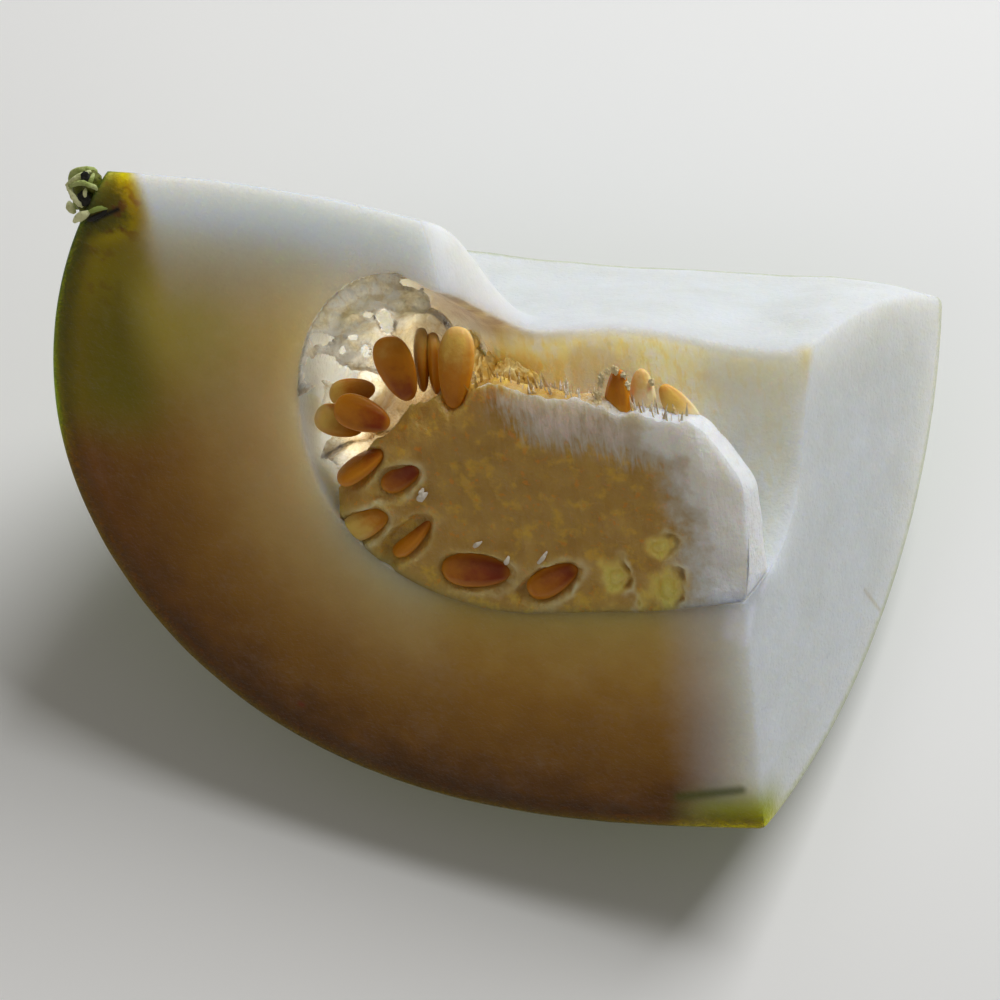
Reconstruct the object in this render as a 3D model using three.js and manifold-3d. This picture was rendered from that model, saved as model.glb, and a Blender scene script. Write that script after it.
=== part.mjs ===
import * as THREE from 'three';
import { mergeVertices } from 'three/addons/utils/BufferGeometryUtils.js';
import Module from 'manifold-3d';

const wasm = await Module();
wasm.setup();

// Driving dimensions in millimetres. The gourd is drawn lying along x with its stem end at
// minus x. The front cut is the plane y = 0 with the flesh behind it, and z points up in that
// cut. At the end of the file the finished wedge is tipped to rest on its rind.
const gourd = { radius: 75, halfLength: 113.3, axisY: -2.5, shoulderPower: 2.92, shoulderRoot: 1.9 };
const rightCut = { perY: 0.325, perZ: 0.045 };
const cavity = { left: -70.5, right: 24, middle: -36, lowRadius: 33, highRadius: 28, farRadius: 24.2 };
const hump = { crestX: -93, crest: 47.5, slope: 0.105, bend: 0.0024, endX: -43.9, endRun: 3.2, reach: 31.5 };
const terrace = { rim: 6.8, rimDrop: 5.5, rimY: 24, farY: 72, farRim: -6.2, farSlope: 0.105 };
const core = { top: 7.8, peakX: -36, backStart: 3, backEnd: 18, backLevel: -18, recess: 5 };
const curtain = { front: 6, thickness: 3.2, rightEdge: -42.5 };
const seedShape = { width: 6.2, thickness: 2.5, tipShare: 0.22, socketGap: 0.35, mouth: 2 };
const pieceGap = 0.45;
const flatSpotDepth = 0.9;
const restUp = [0.2555, -0.6475, 0.718];

const far = 300;
const fullTurn = 2 * Math.PI;
const clamp01 = (t) => Math.min(1, Math.max(0, t));
const mix = (a, b, t) => a + (b - a) * t;
const steps = (from, to, count) => Array.from({ length: count + 1 }, (_, i) => mix(from, to, i / count));
const ease = (a, b, x) => {
  const t = clamp01((x - a) / (b - a));
  return t * t * (3 - 2 * t);
};

// Closed surfaces, each returned with its faces turned outward

function outward(points, faces) {
  let volume = 0;
  for (let i = 0; i < faces.length; i += 3) {
    const [a, b, c] = [0, 1, 2].map((k) => new THREE.Vector3().fromArray(points, faces[i + k] * 3));
    volume += a.dot(b.cross(c));
  }
  if (volume < 0) {
    for (let i = 0; i < faces.length; i += 3) {
      [faces[i + 1], faces[i + 2]] = [faces[i + 2], faces[i + 1]];
    }
  }
  const geometry = new THREE.BufferGeometry();
  geometry.setAttribute('position', new THREE.Float32BufferAttribute(points, 3));
  geometry.setIndex(faces);
  return geometry;
}

// A round body: rows of rings from one pole to the other, each point placed by (row, turn)
function ballBody(rows, ring, place) {
  const points = [...place(0, 0)];
  for (let i = 1; i < rows; i += 1) {
    for (let j = 0; j < ring; j += 1) {
      points.push(...place(i / rows, j / ring));
    }
  }
  points.push(...place(1, 0));
  const last = points.length / 3 - 1;
  const at = (i, j) => 1 + (i - 1) * ring + (j % ring);
  const faces = [];
  for (let j = 0; j < ring; j += 1) {
    faces.push(0, at(1, j), at(1, j + 1));
    faces.push(last, at(rows - 1, j + 1), at(rows - 1, j));
    for (let i = 1; i < rows - 1; i += 1) {
      faces.push(at(i, j), at(i + 1, j), at(i + 1, j + 1));
      faces.push(at(i, j), at(i + 1, j + 1), at(i, j + 1));
    }
  }
  return outward(points, faces);
}

// A block between two sheets that share one grid of a and b values
function sheetBlock(aValues, bValues, lower, upper) {
  const na = aValues.length;
  const nb = bValues.length;
  const points = [];
  for (const sheet of [lower, upper]) {
    for (const a of aValues) {
      for (const b of bValues) {
        points.push(...sheet(a, b));
      }
    }
  }
  const at = (sheet, i, j) => sheet * na * nb + i * nb + j;
  const faces = [];
  const quad = (a, b, c, d) => faces.push(a, b, c, a, c, d);
  for (let i = 0; i < na - 1; i += 1) {
    for (let j = 0; j < nb - 1; j += 1) {
      quad(at(0, i, j), at(0, i, j + 1), at(0, i + 1, j + 1), at(0, i + 1, j));
      quad(at(1, i, j), at(1, i + 1, j), at(1, i + 1, j + 1), at(1, i, j + 1));
    }
    quad(at(0, i, 0), at(0, i + 1, 0), at(1, i + 1, 0), at(1, i, 0));
    quad(at(0, i + 1, nb - 1), at(0, i, nb - 1), at(1, i, nb - 1), at(1, i + 1, nb - 1));
  }
  for (let j = 0; j < nb - 1; j += 1) {
    quad(at(0, 0, j + 1), at(0, 0, j), at(1, 0, j), at(1, 0, j + 1));
    quad(at(0, na - 1, j), at(0, na - 1, j + 1), at(1, na - 1, j + 1), at(1, na - 1, j));
  }
  return outward(points, faces);
}

function solidOf(geometry) {
  const bare = geometry.clone();
  bare.deleteAttribute('normal');
  bare.deleteAttribute('uv');
  const merged = mergeVertices(bare, 1e-4);
  return new wasm.Manifold(new wasm.Mesh({
    numProp: 3,
    vertProperties: new Float32Array(merged.attributes.position.array),
    triVerts: new Uint32Array(merged.index.array),
  }));
}

function geometryOf(solid) {
  const mesh = solid.getMesh();
  const geometry = new THREE.BufferGeometry();
  geometry.setAttribute('position', new THREE.BufferAttribute(new Float32Array(mesh.vertProperties), 3));
  geometry.setIndex(new THREE.BufferAttribute(new Uint32Array(mesh.triVerts), 1));
  return geometry;
}

// Keeps the largest connected body of a solid and drops the crumbs that the cuts leave
function mainBody(solid) {
  const geometry = geometryOf(solid);
  const faces = geometry.index.array;
  const parent = Array.from({ length: geometry.attributes.position.count }, (_, i) => i);
  const rootOf = (start) => {
    let k = start;
    while (parent[k] !== k) {
      parent[k] = parent[parent[k]];
      k = parent[k];
    }
    return k;
  };
  for (let i = 0; i < faces.length; i += 3) {
    parent[rootOf(faces[i])] = rootOf(faces[i + 1]);
    parent[rootOf(faces[i + 1])] = rootOf(faces[i + 2]);
  }
  const groups = new Map();
  for (let i = 0; i < faces.length; i += 3) {
    const root = rootOf(faces[i]);
    const group = groups.get(root) ?? [];
    group.push(faces[i], faces[i + 1], faces[i + 2]);
    groups.set(root, group);
  }
  const largest = [...groups.values()].sort((a, b) => b.length - a.length)[0];
  geometry.setIndex(largest);
  return solidOf(geometry);
}

// Rind: round about the gourd's axis, full at the middle and blunt at the stem end

function rindRadius(x) {
  const share = Math.min(1, Math.abs(x) / gourd.halfLength);
  return gourd.radius * (1 - share ** gourd.shoulderPower) ** (1 / gourd.shoulderRoot);
}

function rindBody() {
  const right = 40;
  const stemRows = 0.82;
  return ballBody(34, 64, (s, turn) => {
    const stemSide = -gourd.halfLength * Math.cos(Math.min(1, s / stemRows) * Math.PI / 2);
    const cutSide = right * clamp01((s - stemRows) / 0.14);
    const x = s < stemRows ? stemSide : cutSide;
    const radius = s <= 0 || s >= 1 ? 0 : rindRadius(x);
    const angle = turn * fullTurn;
    return [x, gourd.axisY + radius * Math.sin(angle), -radius * Math.cos(angle)];
  });
}

// Upper cut: a terrace that falls from the cavity to the far rim, and a rounded hump over the
// stem end that breaks off to the terrace

function farRimLevel(x) {
  const left = Math.max(0, -30 - x);
  const right = Math.max(0, x - 3);
  return terrace.farRim - terrace.farSlope * (x + 5) + 0.004 * left * left - 0.008 * right * right;
}

function terraceLevel(x, y) {
  const rim = terrace.rim - terrace.rimDrop * ease(-24, 6, x) + 0.12 * Math.max(0, -52 - x);
  const share = (y - terrace.rimY) / (terrace.farY - terrace.rimY);
  const crown = mix(1.15, 2, ease(-4, 10, x));
  return rim + (farRimLevel(x) - rim) * (share > 0 ? share ** crown : share);
}

function humpRidge(x) {
  const run = x - hump.crestX;
  return hump.crest - hump.slope * run - hump.bend * run * run;
}

function upperCut(x, y) {
  const t = clamp01(y / (hump.reach + 0.15 * Math.max(0, -50 - x)));
  const steepness = mix(0.42, 0.8, ease(-58, -88, x));
  const fall = 1 - steepness * t - (1 - steepness) * t ** 4;
  const kept = 1 - ease(hump.endX, hump.endX + hump.endRun, x + 0.13 * y);
  return terraceLevel(x, y) + (humpRidge(x) - terraceLevel(x, 0)) * fall * kept;
}

// Cavity: a blunt hollow about the axis, deeper below than towards the top and the far side

function cavityRadius(x, angle) {
  const lowShare = clamp01((-38 - x) / (-38 - cavity.left));
  const highShare = clamp01((-50 - x) / (-50 - cavity.left));
  const low = cavity.lowRadius * (1 - lowShare ** 1.8) ** (1 / 2.2) - 2 * ease(-20, 5, x);
  const widest = mix(cavity.highRadius, cavity.farRadius, ease(-50, -43, x));
  const high = widest * (1 - highShare ** 2.1) ** (1 / 2.1);
  return mix(low, high, ease(0.3, 1.25, Math.abs(angle)));
}

function cavityBody(shrink) {
  const endRows = 0.62;
  return ballBody(24, 36, (s, turn) => {
    const angle = (turn - 0.5) * fullTurn;
    const rounded = 1 - Math.cos(Math.min(1, s / endRows) * Math.PI / 2);
    const endSide = mix(cavity.left + shrink, cavity.middle, rounded);
    const cutSide = mix(cavity.middle, cavity.right, clamp01((s - endRows) / 0.34));
    const x = s < endRows ? endSide : cutSide;
    const wall = cavityRadius(Math.max(x - shrink, cavity.left), angle) - shrink;
    const radius = s <= 0 || s >= 1 ? 0 : Math.max(0.2, wall);
    return [x, radius * Math.sin(angle), -radius * Math.cos(angle)];
  });
}

// Core: the spongy middle, level with the front cut, fringed on top and falling away behind

function coreTop(x) {
  const left = Math.max(0, core.peakX - x);
  const right = Math.max(0, x - core.peakX);
  const tip = Math.max(0, x + 7);
  const fringe = 0.55 * Math.sin(1.9 * x) + 0.4 * Math.sin(0.83 * x + 1);
  return core.top - 0.024 * left * left - 0.26 * right - 0.18 * tip * tip + fringe;
}

function coreTopSheet(x, y) {
  const top = coreTop(x);
  return mix(top, Math.min(core.backLevel, top - 4), ease(core.backStart, core.backEnd, y));
}

function coreFront(x, z) {
  const bevelStart = mix(-4.6, -7.6, ease(-8, 1, z));
  const bevel = 0.4 * Math.max(0, x - bevelStart);
  const recess = core.recess * ease(-57, -62, x) * ease(-12, -4, z);
  const grain = 0.22 + 0.18 * Math.sin(1.3 * x + 0.4 * z) * Math.sin(0.9 * z - 0.3 * x);
  return bevel + recess + grain;
}

// Curtain: ragged pale tissue hanging behind the upper seeds at the stem end

function curtainSheet(x, z) {
  const fold = 1.1 * Math.sin(0.75 * x + 0.2 * z) + 0.8 * Math.sin(0.6 * z - 0.25 * x);
  return curtain.front + fold - 2.2 * ease(14, 24, z);
}

function curtainEdge(z) {
  return curtain.rightEdge - 1.5 * Math.sin(0.8 * z) - 4 * ease(12, 22, z);
}

// Seeds: flat drops, blunt at one end and pointed at the other. Each has the centre where it
// sits, the way its point looks, the way its flat side looks, and its length.

const seeds = [
  { centre: [-53.5, 3.6, 9.9], along: [0.17, 0.05, -0.98], face: [0.2, -1, 0.1], length: 11.4, width: 7 },
  { centre: [-51.1, 8, 9.1], along: [-0.14, 0, -0.98], face: [1, 0.25, 0], length: 11, width: 4.6 },
  { centre: [-48.4, 8.6, 7.9], along: [-0.1, 0, -0.98], face: [1, 0.35, 0], length: 10.6, width: 4.6 },
  { centre: [-43.6, 4.4, 9.9], along: [-0.2, 0, -0.97], face: [-0.2, -1, 0.1], length: 12.2, width: 6.6 },
  { centre: [-63, 6.6, 5.8], along: [0.92, 0.1, 0.05], face: [0, -0.7, 0.8], length: 8.6, width: 5 },
  { centre: [-60.1, 1.7, 2.9], along: [0.9, 0, -0.4], face: [0.1, -0.95, 0.3], length: 9.4 },
  { centre: [-65.6, 4.9, 0.2], along: [0.75, 0.3, -0.5], face: [-0.2, -0.8, 0.5], length: 8.2, width: 5.2 },
  { centre: [-62.3, 3.2, -6.6], along: [0.87, 0.1, 0.48], face: [-0.45, 0.2, 0.85], length: 9.8 },
  { centre: [-55.6, 2.2, -8.4], along: [0.9, 0, 0.44], face: [0.2, -1, 0.3], length: 8.4, width: 4.6 },
  { centre: [-63.2, 1.6, -16.7], along: [0.92, 0, 0.38], face: [0, -1, 0.15], length: 9.6, width: 5.2 },
  { centre: [-55.6, 3.1, -19.1], along: [0.75, 0.05, 0.66], face: [-0.62, 0.2, 0.75], length: 11 },
  { centre: [-45.6, 1.9, -25.6], along: [1, 0, -0.09], face: [0, -1, 0.25], length: 12.2, width: 6.4 },
  { centre: [-32.9, 1.9, -27.6], along: [0.88, 0, 0.48], face: [0.1, -1, 0.2], length: 10.2, width: 5 },
  { centre: [-18, 2.4, 3.4], along: [0.16, 0.1, 0.98], face: [-0.5, -1, 0.1], length: 10.4, width: 5 },
  { centre: [-14.3, 4.4, 3.2], along: [0.08, 0.1, 0.98], face: [-0.2, -1, 0.1], length: 9.6, width: 4.8 },
  { centre: [-8.6, 4.4, 0.9], along: [-0.42, -0.1, 0.9], face: [0.2, -1, 0.2], length: 10.2, width: 4.8 },
];

// Empty beds: seed-shaped hollows left open in the front of the core
const emptyBeds = [
  { centre: [-21.5, 0.6, -26.8], along: [0.29, 0, 0.96], face: [0, -1, 0], length: 8.5, width: 4.6 },
  { centre: [-13.1, 0.6, -28.4], along: [0.45, 0, 0.89], face: [0, -1, 0], length: 7.8, width: 6 },
  { centre: [-13.6, 0.5, -21.3], along: [0.83, 0, 0.56], face: [0, -1, 0], length: 5, width: 3.4 },
];

function seedBody(seed, grow, forward) {
  const { centre, along, face, length, width = seedShape.width } = seed;
  const lengthwise = new THREE.Vector3(...along).normalize();
  const facing = new THREE.Vector3(...face);
  facing.addScaledVector(lengthwise, -facing.dot(lengthwise)).normalize();
  const across = new THREE.Vector3().crossVectors(lengthwise, facing);
  return ballBody(7, 10, (s, turn) => {
    const angle = turn * fullTurn;
    const ahead = -Math.cos(s * Math.PI);
    const fullness = Math.sin(s * Math.PI) ** 0.85 * (1 - seedShape.tipShare * ahead);
    const halfWidth = (width / 2 + grow) * fullness;
    const halfThick = (seedShape.thickness / 2 + grow) * fullness ** 0.8;
    const point = new THREE.Vector3(...centre);
    point.addScaledVector(lengthwise, ahead * (length / 2 + grow));
    point.addScaledVector(across, halfWidth * Math.cos(angle));
    point.addScaledVector(facing, halfThick * Math.sin(angle));
    point.y -= forward;
    return point.toArray();
  });
}

// A seed's socket is a little larger than the seed and open towards the front cut
function withoutSockets(solid) {
  let cut = solid;
  for (const seed of seeds) {
    cut = cut.subtract(solidOf(seedBody(seed, seedShape.socketGap, 0)));
    cut = cut.subtract(solidOf(seedBody(seed, seedShape.socketGap, seedShape.mouth)));
  }
  return cut;
}

// Stem stub: a knot of curled fibres at the corner of the front and upper cuts

const stemCentre = [-99.4, 2.4, 41.4];
const stemLobes = [
  { at: [0.2, 0.6, 0.2], size: [2.9, 2.6, 3.2], tilt: 0 },
  { at: [-0.4, -1.6, -3], size: [2.9, 1.3, 1.1], tilt: 0.5 },
  { at: [-1.9, -0.6, 1.4], size: [2.3, 1.3, 1.1], tilt: 0.9 },
  { at: [1.2, -1.2, 2.6], size: [2.4, 1.4, 1.1], tilt: -0.7 },
  { at: [-2.5, 1, -1.2], size: [1.7, 1.4, 1.3], tilt: -0.4 },
];

function stemLobe(lobe, grow) {
  const curl = 0.05;
  return ballBody(6, 8, (s, turn) => {
    const polar = s * Math.PI;
    const angle = turn * fullTurn;
    const a = -Math.cos(polar) * (lobe.size[0] + grow);
    const b = Math.sin(polar) * Math.cos(angle) * (lobe.size[1] + grow);
    const c = Math.sin(polar) * Math.sin(angle) * (lobe.size[2] + grow) + curl * a * a;
    return [
      stemCentre[0] + lobe.at[0] + a * Math.cos(lobe.tilt) - c * Math.sin(lobe.tilt),
      stemCentre[1] + lobe.at[1] + b,
      stemCentre[2] + lobe.at[2] + a * Math.sin(lobe.tilt) + c * Math.cos(lobe.tilt),
    ];
  });
}

// Knives: blocks that take away everything on one side of a cut

const frontKnife = () => solidOf(sheetBlock(
  [-far, far],
  [-far, far],
  (x, z) => [x, -far, z],
  (x, z) => [x, 0, z],
));

const rightKnife = () => solidOf(sheetBlock(
  [-far, far],
  [-far, far],
  (y, z) => [rightCut.perY * y + rightCut.perZ * z, y, z],
  (y, z) => [far, y, z],
));

const upperKnife = () => solidOf(sheetBlock(
  [...steps(-116, -50, 15), ...steps(-47.5, -39.5, 8), ...steps(-36, 32, 17)],
  [...steps(-6, 34, 16), ...steps(38, 82, 8)],
  (x, y) => [x, y, upperCut(x, y)],
  (x, y) => [x, y, far],
));

const coreTopKnife = (raise) => solidOf(sheetBlock(
  steps(-74, 26, 32),
  [-6, 0, 3, 6, 9, 12, 15, 18, 24, 36],
  (x, y) => [x, y, coreTopSheet(x, y) + raise],
  (x, y) => [x, y, far],
));

const coreFrontKnife = () => solidOf(sheetBlock(
  [...steps(-74, -52, 7), ...steps(-48, 0, 10), 5, 30],
  [...steps(-36, 12, 12), 40],
  (x, z) => [x, -far, z],
  (x, z) => [x, coreFront(x, z), z],
));

// Solids in the gourd's own frame

function buildFlesh() {
  let flesh = solidOf(rindBody());
  flesh = flesh.subtract(frontKnife()).subtract(rightKnife()).subtract(upperKnife());
  flesh = flesh.subtract(solidOf(cavityBody(0)));
  for (const lobe of stemLobes) {
    flesh = flesh.subtract(solidOf(stemLobe(lobe, pieceGap)));
  }
  return mainBody(withoutSockets(flesh));
}

function buildCore() {
  let solid = solidOf(cavityBody(pieceGap));
  solid = solid.subtract(rightKnife()).subtract(coreTopKnife(0)).subtract(coreFrontKnife());
  for (const bed of emptyBeds) {
    solid = solid.subtract(solidOf(seedBody(bed, 0, 0)));
  }
  return mainBody(withoutSockets(solid));
}

function buildCurtain() {
  const place = (s, z, depth) => {
    const x = mix(-72, curtainEdge(z), s);
    return [x, curtainSheet(x, z) + depth, z];
  };
  let solid = solidOf(sheetBlock(
    steps(0, 1, 10),
    steps(-20, 29, 12),
    (s, z) => place(s, z, 0),
    (s, z) => place(s, z, curtain.thickness),
  ));
  solid = solid.intersect(solidOf(cavityBody(pieceGap)));
  solid = solid.intersect(coreTopKnife(pieceGap)).subtract(upperKnife());
  for (const seed of seeds) {
    solid = solid.subtract(solidOf(seedBody(seed, seedShape.socketGap, 0)));
  }
  return mainBody(solid);
}

function buildStem() {
  const [first, ...others] = stemLobes.map((lobe) => solidOf(stemLobe(lobe, 0)));
  return others.reduce((stem, lobe) => stem.add(lobe), first);
}

const pieces = [
  { name: 'flesh', solid: buildFlesh(), colour: 0xdfe3cf, roughness: 0.45 },
  { name: 'core', solid: buildCore(), colour: 0xd8c79a, roughness: 0.6 },
  { name: 'curtain', solid: buildCurtain(), colour: 0xe6dfc6, roughness: 0.5 },
  { name: 'stem', solid: buildStem(), colour: 0xb4bd7c, roughness: 0.7 },
  ...seeds.map((seed, i) => ({
    name: `seed_${String(i + 1).padStart(2, '0')}`,
    solid: solidOf(seedBody(seed, 0, 0)),
    colour: 0xb97526,
    roughness: 0.4,
  })),
];

// Rest: the wedge is tipped onto its rind, and stands on a small flat spot at z = 0 with its
// middle over the origin

const up = new THREE.Vector3(...restUp).normalize();
const ahead = new THREE.Vector3(1, 0, 0).addScaledVector(up, -up.x).normalize();
const aside = new THREE.Vector3().crossVectors(up, ahead);
const tip = new THREE.Matrix4().makeBasis(ahead, aside, up).transpose();
const box = new THREE.Box3();
for (const piece of pieces) {
  piece.geometry = geometryOf(piece.solid).applyMatrix4(tip);
  piece.geometry.computeBoundingBox();
  box.union(piece.geometry.boundingBox);
}
const floorLevel = box.min.z + flatSpotDepth;
const middle = box.getCenter(new THREE.Vector3());
const footKnife = solidOf(sheetBlock(
  [-far, far],
  [-far, far],
  (x, y) => [x, y, -far],
  (x, y) => [x, y, floorLevel],
));
const [fleshPiece] = pieces;
fleshPiece.geometry = geometryOf(solidOf(fleshPiece.geometry).subtract(footKnife));

const group = new THREE.Group();
for (const { name, geometry, colour, roughness } of pieces) {
  geometry.translate(-middle.x, -middle.y, -floorLevel);
  const material = new THREE.MeshStandardMaterial({ color: colour, roughness, metalness: 0 });
  const mesh = new THREE.Mesh(geometry, material);
  mesh.name = name;
  group.add(mesh);
}

export default group;
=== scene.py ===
import math
import bpy
import numpy as np
from mathutils import Matrix, Vector


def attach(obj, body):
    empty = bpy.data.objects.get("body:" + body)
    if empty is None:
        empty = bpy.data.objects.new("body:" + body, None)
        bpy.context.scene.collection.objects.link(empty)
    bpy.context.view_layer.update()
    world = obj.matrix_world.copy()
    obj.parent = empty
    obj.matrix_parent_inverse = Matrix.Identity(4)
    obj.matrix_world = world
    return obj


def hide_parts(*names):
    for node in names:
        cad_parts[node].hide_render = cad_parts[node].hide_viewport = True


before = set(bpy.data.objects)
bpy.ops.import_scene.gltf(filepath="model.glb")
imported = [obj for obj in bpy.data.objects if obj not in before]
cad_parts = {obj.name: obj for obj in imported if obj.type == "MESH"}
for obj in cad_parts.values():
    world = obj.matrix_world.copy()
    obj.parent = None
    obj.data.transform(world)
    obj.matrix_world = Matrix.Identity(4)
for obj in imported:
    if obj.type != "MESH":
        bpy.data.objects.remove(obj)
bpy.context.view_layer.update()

# Everything is shaped in the gourd's own frame, in millimetres: x along the gourd with the stem
# end at minus x, the front cut at y = 0 with the flesh behind it, z up in that cut.

gourd = {
    "radius": 74.9,
    "halfLength": 113.2,
    "axisY": -2.5,
    "shoulderPower": 2.92,
    "shoulderRoot": 1.9,
    "crossCutPerY": 0.325,
    "crossCutPerZ": 0.045,
    "restUp": (0.2555, -0.6475, 0.718),
    "restShift": (36.977, -0.698, 79.205),
}


def ease(a, b, x):  # smooth step from 0 at a to 1 at b
    t = np.clip((x - a) / (b - a), 0, 1)
    return t * t * (3 - 2 * t)


def lerp(a, b, t):  # straight mix of a and b by the share t
    return a + (b - a) * t


def bell(x, middle, width):  # 1 at the middle, 1/e at the width away from it
    return np.exp(-(((x - middle) / width) ** 2))


def xyz(x, y, z):  # three arrays of one shape as points
    return np.stack([x, y, z], -1)


def unit(v):  # the vector at length 1, along the last axis
    v = np.asarray(v, float)
    return v / np.maximum(np.linalg.norm(v, axis=-1, keepdims=True), 1e-12)


def restTurn():  # rows are the directions ahead, aside and up in the gourd's frame
    up = unit(gourd["restUp"])
    ahead = unit(np.array([1.0, 0, 0]) - up * up[0])
    return np.stack([ahead, np.cross(up, ahead), up])


def toRow(points):  # turns the gourd's frame to the resting one, moves it, and makes metres
    return (points @ restTurn().T + np.array(gourd["restShift"])) / 1000


def bisect(above, low, high, halvings=44):
    # halves the span between low and high until it holds the place where above turns true
    for _ in range(halvings):
        middle = (low + high) / 2
        over = above(middle)
        low, high = np.where(over, low, middle), np.where(over, middle, high)
    return (low + high) / 2


def hashed(cell, seed):  # one fixed random number from 0 to 1 for each lattice cell
    mixed = np.sin(cell @ np.array([127.1, 311.7, 74.7]) + seed * 17.17) * 43758.5453
    return mixed - np.floor(mixed)


def grain(points, size, seed=0):
    # value noise from -1 to 1: random numbers on a lattice of that size, smoothly mixed
    cell = np.floor(np.asarray(points) / size)
    share = np.asarray(points) / size - cell
    share = share * share * (3 - 2 * share)
    total = 0
    for corner in np.ndindex(2, 2, 2):
        weight = np.prod(np.where(np.array(corner) == 1, share, 1 - share), axis=-1)
        total = total + weight * hashed(cell + np.array(corner), seed)
    return total * 2 - 1


def layered(points, size, seed=0, layers=3):  # noise summed at halving sizes and strengths
    return sum(grain(points, size / 2**k, seed + k) / 2**k for k in range(layers)) / 1.6


def lobes(points, size, seed=0):
    # rounded lobes: 1 less the squared distance to the nearest of one random point per lattice cell
    cell = np.floor(points / size)
    best = np.full(points.shape[:-1], 9.0)
    for step in np.ndindex(3, 3, 3):
        near = cell + np.array(step) - 1
        spot = near + np.stack([hashed(near, seed + k) for k in (1, 2, 3)], -1)
        best = np.minimum(best, ((points / size - spot) ** 2).sum(-1))
    return 1 - np.minimum(best, 1)


# Form of the wedge: rind, upper cut and hollow

hump = {
    "crestX": -93,
    "crest": 47.5,
    "slope": 0.105,
    "bend": 0.0024,
    "endX": -43.9,
    "endLean": -0.084,
    "endRun": 3.2,
    "endSpread": 0.25,
    "reach": 31.5,
}
terrace = {"rim": 6.8, "rimDrop": 5.5, "rimY": 24, "farY": 72, "farRim": -6.2, "farSlope": 0.105}
hollow = {
    "left": -70.5,
    "lowBend": -38,
    "highBend": -50,
    "lowRadius": 33,
    "highRadius": 28,
    "farRadius": 24.2,
    "pinch": 0.17,
}


def rindRadius(x):  # R (1 - |x/L|^p)^(1/q)
    share = np.clip(np.abs(x) / gourd["halfLength"], 0, 1)
    return gourd["radius"] * (1 - share ** gourd["shoulderPower"]) ** (1 / gourd["shoulderRoot"])


def terraceLevel(x, y):  # height falls from the hollow's rim to the far rim by a bent share of y
    left, right = np.maximum(0, -30 - x), np.maximum(0, x - 3)
    farRim = terrace["farRim"] - terrace["farSlope"] * (x + 5) + 0.004 * left**2 - 0.008 * right**2
    rim = terrace["rim"] - terrace["rimDrop"] * ease(-24, 6, x) + 0.12 * np.maximum(0, -52 - x)
    share = (y - terrace["rimY"]) / (terrace["farY"] - terrace["rimY"])
    bent = np.where(share > 0, np.abs(share) ** lerp(1.15, 2, ease(-4, 10, x)), share)
    return rim + (farRim - rim) * bent


def humpRidge(x):  # crest less a slope and a bend
    run = x - hump["crestX"]
    return hump["crest"] - hump["slope"] * run - hump["bend"] * run**2


def upperCut(x, y):  # terrace plus the hump, which falls with y and ends over a short run of x
    t = np.clip(y / (hump["reach"] + 0.15 * np.maximum(0, -50 - x)), 0, 1)
    steep = lerp(0.42, 0.8, ease(-58, -88, x))
    fall = 1 - steep * t - (1 - steep) * t**4
    end = hump["endX"] + hump["endLean"] * y
    kept = 1 - ease(end, end + hump["endRun"] + hump["endSpread"] * np.maximum(y, 0), x)
    return terraceLevel(x, y) + (humpRidge(x) - terraceLevel(x, 0)) * fall * kept


def hollowRadius(x, angle):  # blunt at the left end, and less deep towards the top and far side
    lowShare = np.clip((hollow["lowBend"] - x) / (hollow["lowBend"] - hollow["left"]), 0, 1)
    highShare = np.clip((hollow["highBend"] - x) / (hollow["highBend"] - hollow["left"]), 0, 1)
    low = hollow["lowRadius"] * (1 - lowShare**1.8) ** (1 / 2.2) - 2 * ease(-20, 5, x)
    widest = lerp(hollow["highRadius"], hollow["farRadius"], ease(-50, -43, x))
    pinch = np.sin(math.pi * np.clip((np.abs(angle) - 1.85) / (math.pi - 1.85), 0, 1))
    high = widest * (1 - highShare**2.1) ** (1 / 2.1) * (1 - hollow["pinch"] * pinch * ease(-56, -46, x))
    return lerp(low, high, ease(0.3, 1.25, np.abs(angle)))


def onHollow(x, angle):  # the point of the hollow's wall at x, with the angle taken from straight down
    radius = hollowRadius(x, angle)
    return xyz(x, radius * np.sin(angle), -radius * np.cos(angle))


def crossCut(y, z):  # x of the cross cut, a plane that leans with y and z
    return gourd["crossCutPerY"] * y + gourd["crossCutPerZ"] * z


# Curves: the outer loop where the cuts meet the rind, and the inner loop round the hollow's mouth

def alongCurve(points, shares):
    # the curve's points at those shares of its length, for one curve or a stack of curves
    stack = points if points.ndim == 3 else points[None]
    leg = np.linalg.norm(np.diff(stack, axis=1), axis=-1)
    length = np.concatenate([np.zeros((len(stack), 1)), np.cumsum(leg, 1)], 1)
    length = length / length[:, -1:]
    # each row gets its own whole number added, so that one search serves all rows
    offset = 2.0 * np.arange(len(stack))[:, None]
    flat = (length + offset).ravel()
    wanted = (np.clip(shares, 0, 1)[None] + offset).ravel()
    at = np.clip(np.searchsorted(flat, wanted, side="right") - 1, 0, len(flat) - 2)
    at = np.minimum(at, np.repeat((np.arange(len(stack)) + 1) * stack.shape[1] - 2, len(shares)))
    part = (wanted - flat[at]) / np.maximum(flat[at + 1] - flat[at], 1e-12)
    rows = stack.reshape(-1, stack.shape[2])
    found = rows[at] + (rows[at + 1] - rows[at]) * np.clip(part, 0, 1)[:, None]
    found = found.reshape(len(stack), len(shares), -1)
    return found if points.ndim == 3 else found[0]


def tightEnds(count, tight):  # shares from 0 to 1, closer together at both ends
    t = np.linspace(0, 1, count)
    return t - tight * np.sin(2 * math.pi * t) / (2 * math.pi)


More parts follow.
